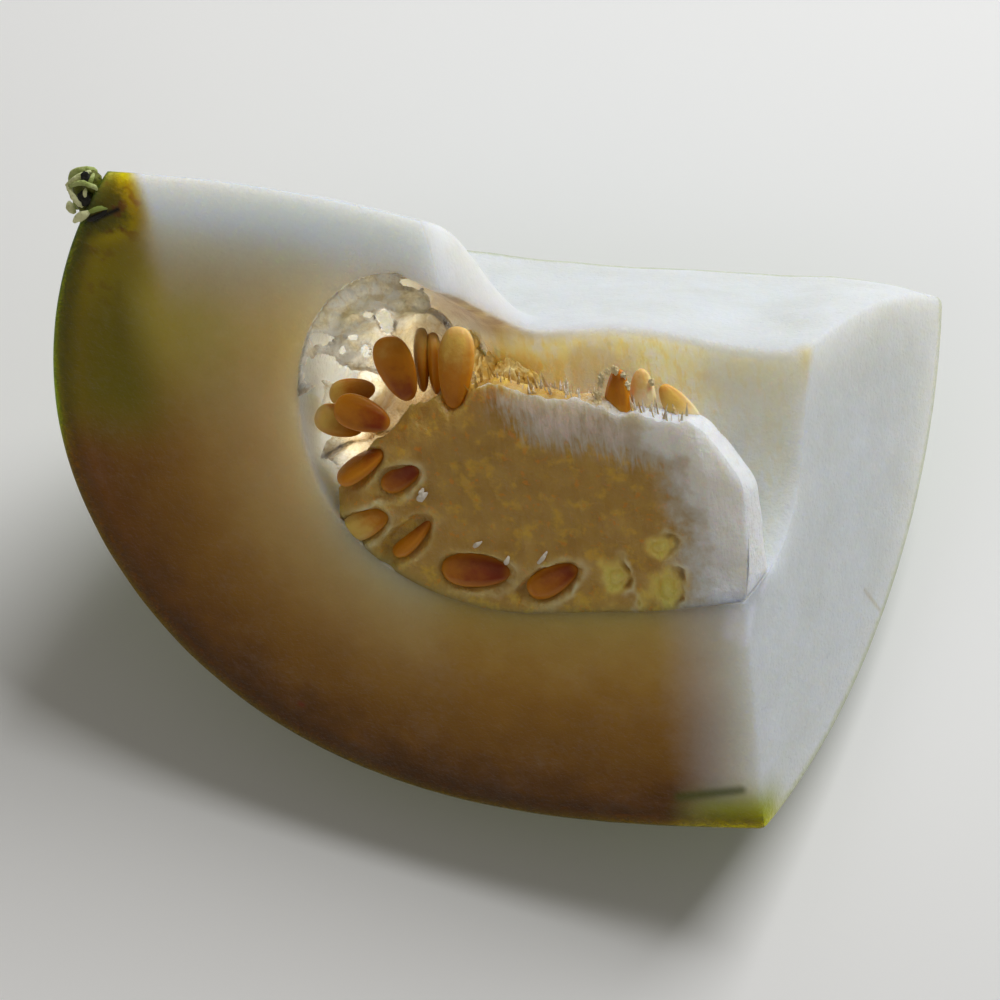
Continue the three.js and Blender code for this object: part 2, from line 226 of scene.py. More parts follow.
def outerCurves():
    # three curves that follow each other round the loop: front, upper and cross cut
    axisY, half = gourd["axisY"], gourd["halfLength"]
    # front cut: z = -+sqrt(r^2 - axisY^2) at y = 0, round the stem end up to the ridge
    low = bisect(lambda x: x > crossCut(0, -np.sqrt(rindRadius(x) ** 2 - axisY**2)), -30.0, 10.0)
    ridgeX = bisect(lambda x: np.sqrt(rindRadius(x) ** 2 - axisY**2) > humpRidge(x), -108.0, -80.0)
    under = -np.linspace(math.acos(-low / half), 0, 900)
    turn = np.concatenate([under, np.linspace(0, math.acos(-ridgeX / half), 600)[1:]])
    x = -half * np.cos(turn)
    z = np.sign(turn) * np.sqrt(np.maximum(rindRadius(x) ** 2 - axisY**2, 0))
    front = xyz(x, 0 * x, z)
    # upper cut: along rays from a point inside, out to where the cut's level reaches the rind
    ray = np.linspace(0, math.radians(165), 1500)
    middle = np.array([-45.0, 0])

    def place(reach):
        x, y = middle[0] - reach * np.cos(ray), middle[1] + reach * np.sin(ray)
        return x, y, upperCut(x, y)

    def outside(reach):
        x, y, z = place(reach)
        return np.hypot(y - axisY, z) > rindRadius(x)

    top = np.stack(place(bisect(outside, 0 * ray, 0 * ray + 150)), -1)
    top = top[: int(np.argmax(top[:, 0] > crossCut(top[:, 1], top[:, 2])))]
    top[0] = front[-1]
    # cross cut: the rind's circle on the slanting plane
    corner = top[-1]
    first, last = math.atan2(corner[1] - axisY, -corner[2]), math.asin(-axisY / gourd["radius"])
    angle = np.linspace(first, last, 700)
    x = 0 * angle
    for _ in range(30):
        y, z = axisY + rindRadius(x) * np.sin(angle), -rindRadius(x) * np.cos(angle)
        x = crossCut(y, z)
    side = xyz(x, y, z)
    side[0], side[-1] = corner, front[0]
    return front, top, side


def innerCurves():
    # three curves round the hollow's mouth, in the same order
    # front cut: the hollow's outline at y = 0, along the bottom, round the left end, and back on top
    bend = np.linspace(0, math.pi / 2, 500)
    start = crossCut(0, -hollowRadius(0.0, 0.0))
    left, low, high = hollow["left"], hollow["lowBend"], hollow["highBend"]
    x = np.concatenate([np.linspace(start, low, 200), low + (left - low) * np.sin(bend[1:])])
    bottom = onHollow(x, 0 * x)
    endX = bisect(lambda x: upperCut(x, 0.0) < hollowRadius(x, math.pi), -43.95, -40.6)
    x = np.concatenate([high + (left - high) * np.sin(bend[::-1][1:]), np.linspace(high, endX, 200)[1:]])
    over = onHollow(x, math.pi + 0 * x)
    front = np.concatenate([bottom, over])
    front[:, 1] = 0
    # end of the hump: down the arch to the rim's level, then along the rim to the cross cut
    x = np.linspace(-36.0, 12, 900)

    def higher(angle):
        point = onHollow(x, angle)
        return point[:, 2] > upperCut(x, point[:, 1])

    rimAngle = bisect(higher, 0 * x + math.radians(75), 0 * x + math.radians(125))
    rim = onHollow(x, rimAngle)
    angle = np.linspace(math.pi, rimAngle[0], 401)[:-1]

    def below(x):
        point = onHollow(x, angle)
        return upperCut(x, point[:, 1]) < point[:, 2]

    arch = onHollow(bisect(below, 0 * angle - 48.0, 0 * angle - 36.0), angle)
    rim = rim[: int(np.argmax(rim[:, 0] > crossCut(rim[:, 1], rim[:, 2])))]
    top = np.concatenate([arch, rim])
    top[0] = front[-1]
    corner = top[-1]
    angle = np.linspace(math.atan2(corner[1], -corner[2]), 0, 500)
    x = 0 * angle
    for _ in range(30):
        point = onHollow(x, angle)
        x = crossCut(point[:, 1], point[:, 2])
    side = onHollow(x, angle)
    side[0], side[-1] = corner, front[0]
    return front, top, side


def cutSector(outer, inner, edgeStart, edgeEnd, chart, lift, shares):
    # straight lines from outer to inner in the cut's flat chart, bent near both ends of the sector
    # to follow its edges, lifted to the cut's surface and spaced by their real length
    v = np.linspace(0, 1, 500)
    flatOuter, flatInner = chart(outer), chart(inner)
    line = flatOuter[:, None] + (flatInner - flatOuter)[:, None] * v[None, :, None]
    first = chart(alongCurve(edgeStart, v)) - line[0]
    last = chart(alongCurve(edgeEnd, v)) - line[-1]
    s = np.linspace(0, 1, len(outer))[:, None, None]
    bent = line + (1 - ease(0, 0.45, s)) * first + ease(0.55, 1, s) * last
    return alongCurve(xyz(*lift(bent[..., 0], bent[..., 1])), shares)


def bowlRows(loop, pole, centre, outside, shares):
    # chords from the loop to the pole, each point pushed out from the centre to the surface
    chord = loop[:, None] + (pole - loop)[:, None] * shares[None, :, None]
    direction = unit(chord - centre)
    none = 0 * chord[..., 0]
    reach = bisect(lambda r: outside(centre + direction * r[..., None]), none, none + 170)
    return centre + direction * reach[..., None]


def gridNormals(grid):  # cross product of the grid's two directions, the ring being closed
    down = np.gradient(grid, axis=0)
    around = np.roll(grid, -1, 1) - np.roll(grid, 1, 1)
    return unit(np.cross(down, around))


def soften(grid, downWeight, aroundWeight, passes):
    # each pass moves a point towards the middle of its neighbours down and around the grid
    for _ in range(passes):
        down = (np.concatenate([grid[:1], grid[:-1]]) + np.concatenate([grid[1:], grid[-1:]])) / 2
        around = (np.roll(grid, 1, 1) + np.roll(grid, -1, 1)) / 2
        grid = (
            grid
            + 0.5 * downWeight[..., None] * (down - grid)
            + 0.5 * aroundWeight[..., None] * (around - grid)
        )
    return grid


def ballFaces(rows, ring):
    # quads between rings, and a fan of triangles to the point before the first ring and after the last
    at = 1 + np.arange(rows * ring).reshape(rows, ring)
    after = np.roll(at, -1, 1)
    quads = np.stack([at[:-1], at[1:], after[1:], after[:-1]], -1).reshape(-1, 4)
    first = np.stack([0 * at[0], at[0], after[0]], -1)
    last = np.stack([0 * at[0] + rows * ring + 1, after[-1], at[-1]], -1)
    return quads, np.concatenate([first, last])


def signedVolume(points, quads, triangles):  # a sixth of the sum of a . (b x c) over the triangles
    tris = np.concatenate([quads[:, [0, 1, 2]], quads[:, [0, 2, 3]], triangles])
    a, b, c = points[tris[:, 0]], points[tris[:, 1]], points[tris[:, 2]]
    return (a * np.cross(b, c)).sum() / 6


def ballPiece(name, grid, ends, values, material, replaced=()):
    # a closed body: the grid's rings from the first end point to the last
    points = np.concatenate([ends[0][None], grid.reshape(-1, 3), ends[1][None]])
    quads, fans = ballFaces(*grid.shape[:2])
    if signedVolume(points, quads, fans) < 0:
        quads, fans = quads[:, ::-1], fans[:, ::-1]
    spread = {k: np.concatenate([[v[0].mean()], v.ravel(), [v[-1].mean()]]) for k, v in values.items()}
    return meshPiece(name, points, quads, fans, spread, material, replaced)


sharpAngle = math.radians(48)  # edges that bend more than this stay sharp in the shading


def meshPiece(name, points, quads, triangles, values, material, replaced=()):
    # arrays of points and faces as one piece of the scene, with its values as point attributes
    placed = toRow(points)
    placed[:, 2] = np.maximum(placed[:, 2], 0)  # the flat spot that the wedge rests on
    corners = np.concatenate([quads.ravel(), triangles.ravel()]).astype(np.int32)
    sizes = np.concatenate([np.full(len(quads), 4), np.full(len(triangles), 3)]).astype(np.int32)
    mesh = bpy.data.meshes.new(name)
    mesh.vertices.add(len(placed))
    mesh.vertices.foreach_set("co", placed.astype(np.float32).ravel())
    mesh.loops.add(len(corners))
    mesh.loops.foreach_set("vertex_index", corners)
    mesh.polygons.add(len(sizes))
    mesh.polygons.foreach_set("loop_start", (np.cumsum(sizes) - sizes).astype(np.int32))
    mesh.polygons.foreach_set("loop_total", sizes)
    mesh.polygons.foreach_set("use_smooth", np.ones(len(sizes), bool))
    mesh.update(calc_edges=True)
    mesh.validate()
    mesh.set_sharp_from_angle(angle=sharpAngle)
    for key, value in values.items():
        layer = mesh.attributes.new(key, "FLOAT", "POINT")
        layer.data.foreach_set("value", np.asarray(value, np.float32))
    mesh.materials.append(material)
    piece = bpy.data.objects.new(name, mesh)
    bpy.context.scene.collection.objects.link(piece)
    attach(piece, "root")
    if replaced:
        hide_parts(*replaced)
    return piece


# Finishes

class Link:
    # a socket that adds Math nodes when it is used in a sum
    def __init__(self, finish, socket):
        self.finish, self.socket = finish, socket

    def math(self, operation, a, b):
        return self.finish.node("Math", {"operation": operation}, {0: a, 1: b})

    def __add__(self, other):
        return self.math("ADD", self, other)

    def __radd__(self, other):
        return self.math("ADD", other, self)

    def __sub__(self, other):
        return self.math("SUBTRACT", self, other)

    def __rsub__(self, other):
        return self.math("SUBTRACT", other, self)

    def __mul__(self, other):
        return self.math("MULTIPLY", self, other)

    def __rmul__(self, other):
        return self.math("MULTIPLY", other, self)

    def most(self, other):
        return self.math("MAXIMUM", self, other)

    def least(self, other):
        return self.math("MINIMUM", self, other)

    def step(self, low, high):  # smooth step from 0 at low to 1 at high
        inputs = {"Value": self, "From Min": low, "From Max": high}
        return self.finish.node("MapRange", {"interpolation_type": "SMOOTHSTEP"}, inputs)


class Finish:
    # a material being put together, with Object coordinates in millimetres ready to use
    def __init__(self, name):
        self.material = bpy.data.materials.new(name)
        self.material.use_nodes = True
        self.tree = self.material.node_tree
        self.tree.nodes.clear()
        self.place = self.scaled(self.node("TexCoord", {}, {}, "Object"), 1000.0)
        self.turned = None

    def node(self, kind, settings, inputs, output=0):
        made = self.tree.nodes.new("ShaderNode" + kind)
        for key, value in settings.items():
            setattr(made, key, value)
        for key, value in inputs.items():
            if isinstance(value, Link):
                self.tree.links.new(value.socket, made.inputs[key])
            else:
                made.inputs[key].default_value = value
        return Link(self, made.outputs[output])

    def attribute(self, name):
        settings = {"attribute_name": name, "attribute_type": "GEOMETRY"}
        return self.node("Attribute", settings, {}, "Fac")

    def noise(self, size, detail=3.0, rough=0.5, place=None, twist=0.0):
        inputs = {"Vector": self.place if place is None else place, "Scale": 1.0 / size}
        inputs.update({"Detail": detail, "Roughness": rough, "Distortion": twist})
        return self.node("TexNoise", {}, inputs, "Fac")

    def cells(self, size):  # distance to the nearest of one random point per cell
        inputs = {"Vector": self.place, "Scale": 1.0 / size}
        return self.node("TexVoronoi", {"feature": "F1"}, inputs, "Distance")

    def vector(self, operation, a, b=(0.0, 0.0, 0.0), output=0):
        return self.node("VectorMath", {"operation": operation}, {0: a, 1: b}, output)

    def scaled(self, a, factor):
        return self.node("VectorMath", {"operation": "SCALE"}, {0: a, "Scale": factor})

    def upright(self):  # the coordinates moved and turned back to the gourd's own frame
        if self.turned is None:
            turn = Matrix([list(r) for r in restTurn()]).to_euler()
            moved = self.vector("SUBTRACT", self.place, gourd["restShift"])
            settings = {"rotation_type": "EULER_XYZ", "invert": True}
            self.turned = self.node("VectorRotate", settings, {"Vector": moved, "Rotation": tuple(turn)})
        return self.turned

    def stretched(self, scale):  # the gourd's coordinates scaled along its axes
        return self.vector("MULTIPLY", self.upright(), tuple(scale))

    def streak(self, place, a, b, width):  # 1 on the line from a to b, down to 0 at the width away
        a, b = np.array(a, float), np.array(b, float)
        way = b - a
        fromA = self.vector("SUBTRACT", place, tuple(a))
        share = self.vector("DOT_PRODUCT", fromA, tuple(way / (way @ way)), "Value")
        along = self.scaled(tuple(way), share.most(0.0).least(1.0))
        gap = self.vector("LENGTH", self.vector("SUBTRACT", fromA, along), output="Value")
        return gap.step(width, 0.0)

    def blend(self, share, a, b):  # colour a, and b where the share is 1
        a, b = (c if isinstance(c, Link) else (*c, 1.0) for c in (a, b))
        return self.node("Mix", {"data_type": "RGBA"}, {0: share, 6: a, 7: b}, 2)

    def bump(self, height, depth):
        return self.node("Bump", {}, {"Height": height, "Strength": 1.0, "Distance": depth / 1000})

    def surface(self, **inputs):  # the shader, whose inputs are named here in camel case
        spaced = {}
        for key, value in inputs.items():
            key = "".join(" " + c if c.isupper() else c for c in key).title()
            spaced[key.replace("Ior", "IOR")] = value
        shader = self.node("BsdfPrincipled", {}, spaced)
        out = self.tree.nodes.new("ShaderNodeOutputMaterial")
        self.tree.links.new(shader.socket, out.inputs["Surface"])
        return self.material


def srgb(r, g, b):  # a screen colour from 0 to 255 as linear light
    c = np.array([r, g, b]) / 255
    return tuple(float(v) for v in np.where(c <= 0.04045, c / 12.92, ((c + 0.055) / 1.055) ** 2.4))


fleshLook = {
    "frontColumns": 240,
    "upperColumns": 190,
    "crossColumns": 90,
    "rindRows": 44,
    "cutRows": 78,
    "hollowRows": 44,
    "tight": 0.7,
    "rindPole": (-50.0, 60, -60),
    "rindMiddle": (-35.0, 12, -12),
    "wallPole": (-34.0, 22, -14),
    "wallMiddle": (-28.0, 8, -6),
    "white": srgb(222, 227, 230),
    "cloudy": srgb(210, 214, 211),
    "cream": srgb(230, 218, 158),
    "straw": srgb(204, 188, 84),
    # painted light: a bluish white for the lit part of the front cut
    "sky": srgb(214, 230, 255),
    "olive": srgb(136, 124, 0),
    "mouth": srgb(230, 218, 172),
    "edgeOlive": srgb(40, 58, 0),
    "edgeUmber": srgb(28, 21, 0),
    "gold": srgb(224, 192, 108),
    "tan": srgb(186, 138, 46),
    "brown": srgb(134, 88, 12),
    "umber": srgb(84, 52, 4),
    "stain": srgb(108, 104, 4),
    "stainYellow": srgb(178, 164, 4),
    "rust": srgb(128, 60, 22),
    "rindGreen": srgb(104, 134, 34),
    "rindDark": srgb(56, 86, 20),
    "rindPale": srgb(150, 172, 82),
    "litEdgeGreen": srgb(150, 168, 70),
    "shadyGreen": srgb(84, 74, 8),
    "wallPale": srgb(244, 243, 234),
    "wallYellow": srgb(244, 238, 202),
    "wallGold": srgb(240, 224, 156),
    "wallGrey": srgb(212, 206, 200),
    "wallPaintedShade": srgb(152, 142, 142),
    "pulp": srgb(240, 218, 156),
    # marks on the cuts: a colour, a strength, and strokes from point to point with their width
    "marks": [
        # slit beside the stem, a dark line of painted shade without a cut in the surface, and streaks below
        # it
        (
            srgb(22, 18, 6),
            1.0,
            [((-100.6, 0, 38.6), (-97.6, 0, 39.4), 1.0), ((-98.0, 0, 39.2), (-93.4, 0, 40.8), 0.75)],
        ),
        (
            srgb(112, 98, 10),
            0.18,
            [((-96.1, 0, 28.4), (-96.9, 0, 25.6), 1.1), ((-96.9, 0, 25.6), (-98.0, 0, 18.0), 2.4)],
        ),
        # rusty dot low on the left
        (srgb(128, 60, 22), 0.9, [((-80.8, 0, -50.5), (-80.5, 0, -50.7), 0.9)]),
        # green in the lower right corner, with one dark streak
        (
            srgb(150, 160, 0),
            0.95,
            [((-11.0, 0, -73.6), (-3.0, 0, -73.0), 10.0), ((-8.0, 0, -73.6), (-3.6, 0, -73.2), 6.5)],
        ),
        (srgb(84, 96, 0), 0.7, [((-17.0, 0, -68.4), (-6.4, 0, -66.9), 1.5)]),
        # bright strokes under the core's right end, a yellow strip and a scratch on the cross cut
        (
            srgb(244, 244, 255),
            0.6,
            [
                ((4.0, 15.9, -22.4), (2.6, 12.0, -27.0), 1.6),
                ((1.9, 10.2, -28.6), (0.3, 5.6, -32.2), 1.5),
                ((-0.9, 2.0, -34.0), (-2.2, -0.5, -38.6), 2.2),
                ((-3.4, 0, -33.6), (-4.2, 0, -37.0), 2.4),
            ],
        ),
        (
            srgb(214, 196, 140),
            0.8,
            [((8, 24.4, 0.4), (5.5, 18.4, -10.6), 3.4), ((5.5, 18.4, -10.6), (4.5, 16.4, -18), 2.2)],
        ),
        (srgb(196, 192, 176), 0.7, [((10, 37.6, -50.6), (11.2, 42.3, -57.3), 0.7)]),
    ],
}


def fleshFinish():
    f = Finish("fleshFinish")
    look = fleshLook
    depth, skin, wall = f.attribute("depth"), f.attribute("skin"), f.attribute("wall")
    shade, green, stain = f.attribute("shade"), f.attribute("green"), f.attribute("stain")
    cloud = f.noise(11, 3, 0.6)
    fine = f.noise(1.3, 2, 0.65)
    mottle = (cloud - 0.5) * 0.5 + (fine - 0.5) * 0.35

    # the cut: white where light is strong, and gold to brown towards the rind where it is not, mostly
    # painted shade over the flesh's own deeper tone near the rind
    deep = depth + (f.noise(7, 2, 0.6) - 0.5) * 9
    warm = f.blend((deep - 4).step(0, 24), look["brown"], look["tan"])
    warm = f.blend((deep - 18).step(0, 26), warm, look["gold"])
    # painted shade: darker umber low on the front cut near the rind
    warm = f.blend(f.attribute("low") * deep.step(12, 0), warm, look["umber"])
    upper = f.blend((deep - 16).step(0, 20), look["straw"], look["cream"])
    warm = f.blend(green * deep.step(0, 12), warm, upper)
    warm = f.blend(f.attribute("olive"), warm, look["olive"])
    # painted light: the front cut paler near the hollow's mouth, a glow from the tissue behind
    warm = f.blend(f.attribute("mouth"), warm, look["mouth"])
    body = f.blend((cloud * 1.3 - 0.3 + mottle), look["white"], look["cloudy"])
    # painted light: the lit part of the front cut turns bluish white
    body = f.blend(f.attribute("sky"), body, look["sky"])
    body = f.blend((shade + mottle * 0.3 * shade), body, warm)
    stained = f.blend((stain + (fine - 0.5) * 0.6).step(0.35, 0.9), look["stainYellow"], look["stain"])
    stained = f.blend(f.noise(2.6, 2).step(0.55, 0.7) * 0.5, stained, look["rust"])
    body = f.blend(stain.step(0.0, 0.45), body, stained)
    # the green edge along the rind in a lit copy and a painted-shade copy, mixed by the painted shade
    edge = (depth + (fine - 0.5) * 1.2).step(2.6, 0.3)
    edgeColour = f.blend(shade * (1 - green * 0.6), look["litEdgeGreen"], look["shadyGreen"])
    body = f.blend(edge * 0.75, body, edgeColour)
    body = f.blend(depth.step(0.9, 0.15), body, look["rindDark"])

    # marks, and then a dark band along the rind on the front cut: painted shade over the rind's own green
    # edge
    onCut = (1 - skin) * (1 - wall)
    for colour, strength, strokes in look["marks"]:
        for start, end, width in strokes:
            mark = f.streak(f.upright(), start, end, width)
            body = f.blend(mark * onCut * strength, body, colour)
    rim = f.attribute("rim")
    band = (depth + (fine - 0.5) * 1.2 + (1 - rim) * 3.0).step(5.4, 0.7) * rim.step(0.0, 0.5)
    body = f.blend(band * 0.95, body, f.blend(f.attribute("olive"), look["edgeUmber"], look["edgeOlive"]))

    # the hollow's wall: pale with yellow smears that run up and down
    smear = f.noise(1.0, 3, 0.65, f.stretched((0.5, 0.5, 0.2)))
    inside = f.blend(smear.step(0.36, 0.62), look["wallPale"], look["wallYellow"])
    golden = f.noise(1.0, 2, 0.6, f.stretched((0.9, 0.9, 0.3)))
    inside = f.blend(golden.step(0.52, 0.66) * 0.6, inside, look["wallGold"])
    inside = f.blend(f.noise(9, 2).step(0.5, 0.66) * 0.5, inside, look["wallGrey"])
    inside = f.blend(f.attribute("under"), inside, look["cloudy"])
    spiky = f.noise(1.0, 2, 0.6, f.stretched((0.5, 0.5, 0.3))).step(0.42, 0.56)
    inside = f.blend(f.attribute("pulp") * (0.35 + 0.65 * spiky), inside, look["pulp"])
    # painted shade on the wall under the hump's end
    dusk = f.attribute("dusk") * (0.4 + f.noise(3, 1)).least(1.0)
    inside = f.blend(dusk, inside, look["wallPaintedShade"])
    body = f.blend(wall, body, inside)

    rind = f.blend(f.noise(9, 3, 0.6).step(0.35, 0.7), look["rindGreen"], look["rindDark"])
    rind = f.blend(f.noise(2.2, 3, 0.7).step(0.58, 0.75) * 0.5, rind, look["rindPale"])
    colour = f.blend(skin, body, rind)
    height = (f.noise(0.7, 2, 0.6) + f.noise(2.2, 2, 0.6) * 0.9) * (1 - skin)
    return f.surface(
        baseColor=colour,
        roughness=0.34 + 0.16 * f.noise(3, 1) + skin * 0.08,
        specularIorLevel=0.28,
        subsurfaceWeight=1.0,
        subsurfaceScale=0.022,
        subsurfaceRadius=(1.0, 0.8, 0.5),
        normal=f.bump(height, 0.4),
    )


def fleshEdges(outer, inner):
    # the lines from the outer loop to the inner that part the cuts: low corner, ridge and far edge
    span = np.linspace(0, 1, 400)
    corner = lerp(outer[0][0], inner[0][0], span[:, None])
    x = lerp(outer[1][0, 0], inner[1][0, 0], 1 - (1 - span) ** 2)
    ridge = xyz(x, 0 * x, upperCut(x, 0 * x))
    ridge[0], ridge[-1] = outer[1][0], inner[1][0]
    y = lerp(outer[2][0, 1], inner[2][0, 1], span)
    x = 0 * y
    for _ in range(40):
        x = crossCut(y, upperCut(x, y))
    farEdge = xyz(x, y, upperCut(x, y))
    farEdge[0], farEdge[-1] = outer[2][0], inner[2][0]
    return corner, ridge, farEdge


def fleshCut():
    # front, upper and cross cut side by side, as rows from the outer loop to the inner
    look = fleshLook
    outer, inner = outerCurves(), innerCurves()
    corner, ridge, farEdge = fleshEdges(outer, inner)
    # each cut with its first and last edge, and how it is laid flat and lifted back
    cuts = [
        ("frontColumns", corner, ridge, lambda p: p[..., [0, 2]], lambda x, z: (x, 0 * x, z)),
        ("upperColumns", ridge, farEdge, lambda p: p[..., :2], lambda x, y: (x, y, upperCut(x, y))),
        ("crossColumns", farEdge, corner, lambda p: p[..., 1:], lambda y, z: (crossCut(y, z), y, z)),
    ]
    down = tightEnds(look["cutRows"], look["tight"])
    parts = []
    for k, (columns, first, last, chart, lift) in enumerate(cuts):
        along = tightEnds(look[columns], look["tight"])
        ends = alongCurve(outer[k], along), alongCurve(inner[k], along)
        parts.append(cutSector(*ends, first, last, chart, lift, down)[:-1])
    return np.concatenate(parts).transpose(1, 0, 2)


def outsideRind(p):  # true where a point is farther from the gourd's axis than the rind
    return np.hypot(p[..., 1] - gourd["axisY"], p[..., 2]) > rindRadius(p[..., 0])


def outsideHollow(p):  # true where a point is farther from the hollow's axis than its wall
    return np.hypot(p[..., 1], p[..., 2]) > hollowRadius(p[..., 0], np.arctan2(p[..., 1], -p[..., 2]))


def fleshGrid():
    # rings from a point on the rind over the cuts to a point on the hollow's wall
    look = fleshLook
    cut = fleshCut()

    def bowl(loop, rows, pole, middle, outside):
        shares = np.linspace(0, 1, rows + 1)[1:] ** 1.35
        return bowlRows(loop, np.array(pole), np.array(middle), outside, shares).transpose(1, 0, 2)

    rind = bowl(cut[0], look["rindRows"], look["rindPole"], look["rindMiddle"], outsideRind)
    wall = bowl(cut[-1], look["hollowRows"], look["wallPole"], look["wallMiddle"], outsideHollow)
    grid = np.concatenate([rind[:-1][::-1], cut, wall[:-1]])
    return grid, (rind[-1].mean(0), wall[-1].mean(0))


def rindDepth(grid):
    # how far a point is below the rind: its gaps r and e across and along the gourd give
    # r e / sqrt(r^2 + e^2)
    offAxis = np.hypot(grid[..., 1] - gourd["axisY"], grid[..., 2])
    share = np.clip(offAxis / gourd["radius"], 0, 1) ** gourd["shoulderRoot"]
    end = gourd["halfLength"] * (1 - share) ** (1 / gourd["shoulderPower"])
    radial = np.maximum(rindRadius(grid[..., 0]) - offAxis, 0.01)
    endward = np.maximum(grid[..., 0] + end, 0.01)
    return radial * endward / np.hypot(radial, endward)


def softenEdges(grid, i, j, rowsAt, columnsAt):
    # edges are rounded a little: the rind's edge least, the ridge and the rim most
    (outerRow, innerRow), (ridgeColumn, farColumn) = rowsAt, columnsAt
    ring = grid.shape[1]
    rimSoft = ease(ridgeColumn - 40, ridgeColumn, j) * (1 - ease(farColumn - 2, farColumn + 20, j))
    upperFront = ease(-20, -8, grid[innerRow, :, 2]) * (np.arange(ring) < ridgeColumn)
    mouthSoft = lerp(0.03, 0.7, upperFront) * 0.45
    down = bell(i, outerRow, 2.5) * 0.6 + bell(i, innerRow, 6) * (mouthSoft + (1 - mouthSoft) * rimSoft)
    onCut = ease(outerRow - 3, outerRow + 3, i) * ease(innerRow + 6, innerRow - 2, i)
    fromCorner = np.minimum(j, ring - j)
    edges = 0.5 * bell(fromCorner, 0, 4) + bell(j, ridgeColumn, 7) + 0.6 * bell(j, farColumn, 5)
    arch = 0.8 * ease(innerRow - 3, innerRow + 1, i) * ease(ridgeColumn - 4, ridgeColumn + 4, j)
    around = np.maximum(onCut * edges, arch * (1 - ease(farColumn, farColumn + 8, j)))
    return soften(grid, np.clip(down, 0, 1), np.clip(around, 0, 1), 26)


def buildFlesh():
    # flesh and rind in one closed body: the softened grid, moved along its normals by the relief
    look = fleshLook
    grid, ends = fleshGrid()
    rows, ring = grid.shape[:2]
    i, j = np.arange(rows)[:, None], np.arange(ring)[None]
    outerRow = look["rindRows"] - 1
    innerRow = outerRow + look["cutRows"] - 1
    ridgeColumn = look["frontColumns"] - 1
    farColumn = ridgeColumn + look["upperColumns"] - 1
    grid = softenEdges(grid, i, j, (outerRow, innerRow), (ridgeColumn, farColumn))

    # small unevenness: a gentle wave in the rind, a rougher upper cut, and a fibrous hollow
    gx, gz = grid[..., 0], grid[..., 2]
    onRind = (i < outerRow) * np.ones(ring)
    onWall = ease(innerRow - 2, innerRow + 3, i) * np.ones(ring)
    onCut = ease(outerRow - 3, outerRow + 3, i) * ease(innerRow + 6, innerRow - 2, i)
    onTop = onCut * ease(ridgeColumn, ridgeColumn + 8, j) * (1 - ease(farColumn - 8, farColumn, j))
    swell = onRind * 0.16 * layered(grid, 16, 1)
    swell = swell + onTop * 0.22 * layered(grid, 7, 2) + onCut * 0.05 * layered(grid, 5, 3)
    fibre = onWall * lerp(0.12, 0.4, ease(-58, -46, gx))
    fibre = fibre * layered(grid * np.array([1.0, 0.5, 0.5]), 3.2, 5)
    farWall = np.clip(onWall * ease(-51, -47, gx) * ease(-26, -40, gx) * ease(-12, -6, gz), 0, 1)
    clumps = farWall * lobes(grid * np.array([1.0, 0.6, 0.5]), 1.9, 12) * ease(8, 4, gz)
    away = gridNormals(grid)
    if (away[outerRow // 2] * (grid[outerRow // 2] - np.array(look["rindMiddle"]))).sum() < 0:
        away = -away
    grid = grid + away * (swell - 0.1 * onRind + fibre + 1.1 * clumps)[..., None]

    # shares for the finish
    gx, gy, gz = grid[..., 0], grid[..., 1], grid[..., 2]
    onFront = (j < ridgeColumn + 1) * (1 - onRind)
    # painted light and shade on the front cut: bright towards the top, shaded lower down, and less shaded
    # near the cross cut
    tilted = gz + np.where(gx < -66, 0.2, 0.33) * (gx + 66)
    bright = ease(14, 41, tilted) * ease(-92, -87, gx)
    stain = onFront * ease(-86.5, -96.0, gx) * ease(34, 40, gz)
    stain = stain + onFront * ease(-88, -99, gx) * ease(16, 32, gz) * ease(41, 34, gz) * 0.22
    oliveStart = lerp(-89.5, -84, ease(24, 34, gz))
    # painted light near the hollow's mouth on the front cut
    mouth = 0.34 * ease(26, 2, innerRow - i) + 0.5 * ease(46, 6, innerRow - i) * ease(16, 6, gz)
    under = ease(-38, -50, gx) + ease(2.5, 0.2, np.abs(gz - upperCut(gx, gy))) + 0.7 * ease(-16, -4, gx)
    farWall = np.clip(onWall * ease(-51, -47, gx) * ease(-26, -40, gx) * ease(-12, -6, gz), 0, 1)
    values = {
        "depth": np.where(onRind > 0, 0, rindDepth(grid)),
        "skin": onRind,
        "wall": ease(innerRow - 1, innerRow + 9, i) * np.ones(ring),
        # painted shade under the hump's end
        "dusk": 0.95 * ease(-58, -50, gx) * ease(-24, -36, gx) * ease(2, 10, gz) * onWall,
        "shade": np.clip(onFront * (1 - bright) * ease(0, 17, crossCut(gy, gz) - gx), 0, 1),
        "green": ease(-4, 24, gz),
        # where the painted shade turns umber, low on the front cut
        "low": ease(4, -42, gz) * onFront,
        "sky": onFront * bright,
        "olive": onFront * ease(-4, 10, gz) * ease(oliveStart, -99, gx),
        "mouth": onFront * ease(-48, -60, gx) * mouth,
        # where the painted shade band runs along the rind on the front cut
        "rim": onFront * lerp(1, 0.85, ease(-40, -10, gx)) * ease(44, 36, gz),
        "pulp": farWall * ease(6.5, 3.5, gz + 0.25 * (gx + 46)),
        "stain": np.clip(stain, 0, 1),
        "under": np.clip(under, 0, 1),
    }
    return ballPiece("fleshWedge", grid, ends, values, fleshFinish(), ["flesh"])


# Seeds: flat drops with a raised margin. Each has the centre where it sits, the way its point
# looks, the way its flat side looks, its length and width, and its tone: from cream (below 0) and
# pale (0) through amber to dark brown (1). The empty beds are the places of lost seeds.

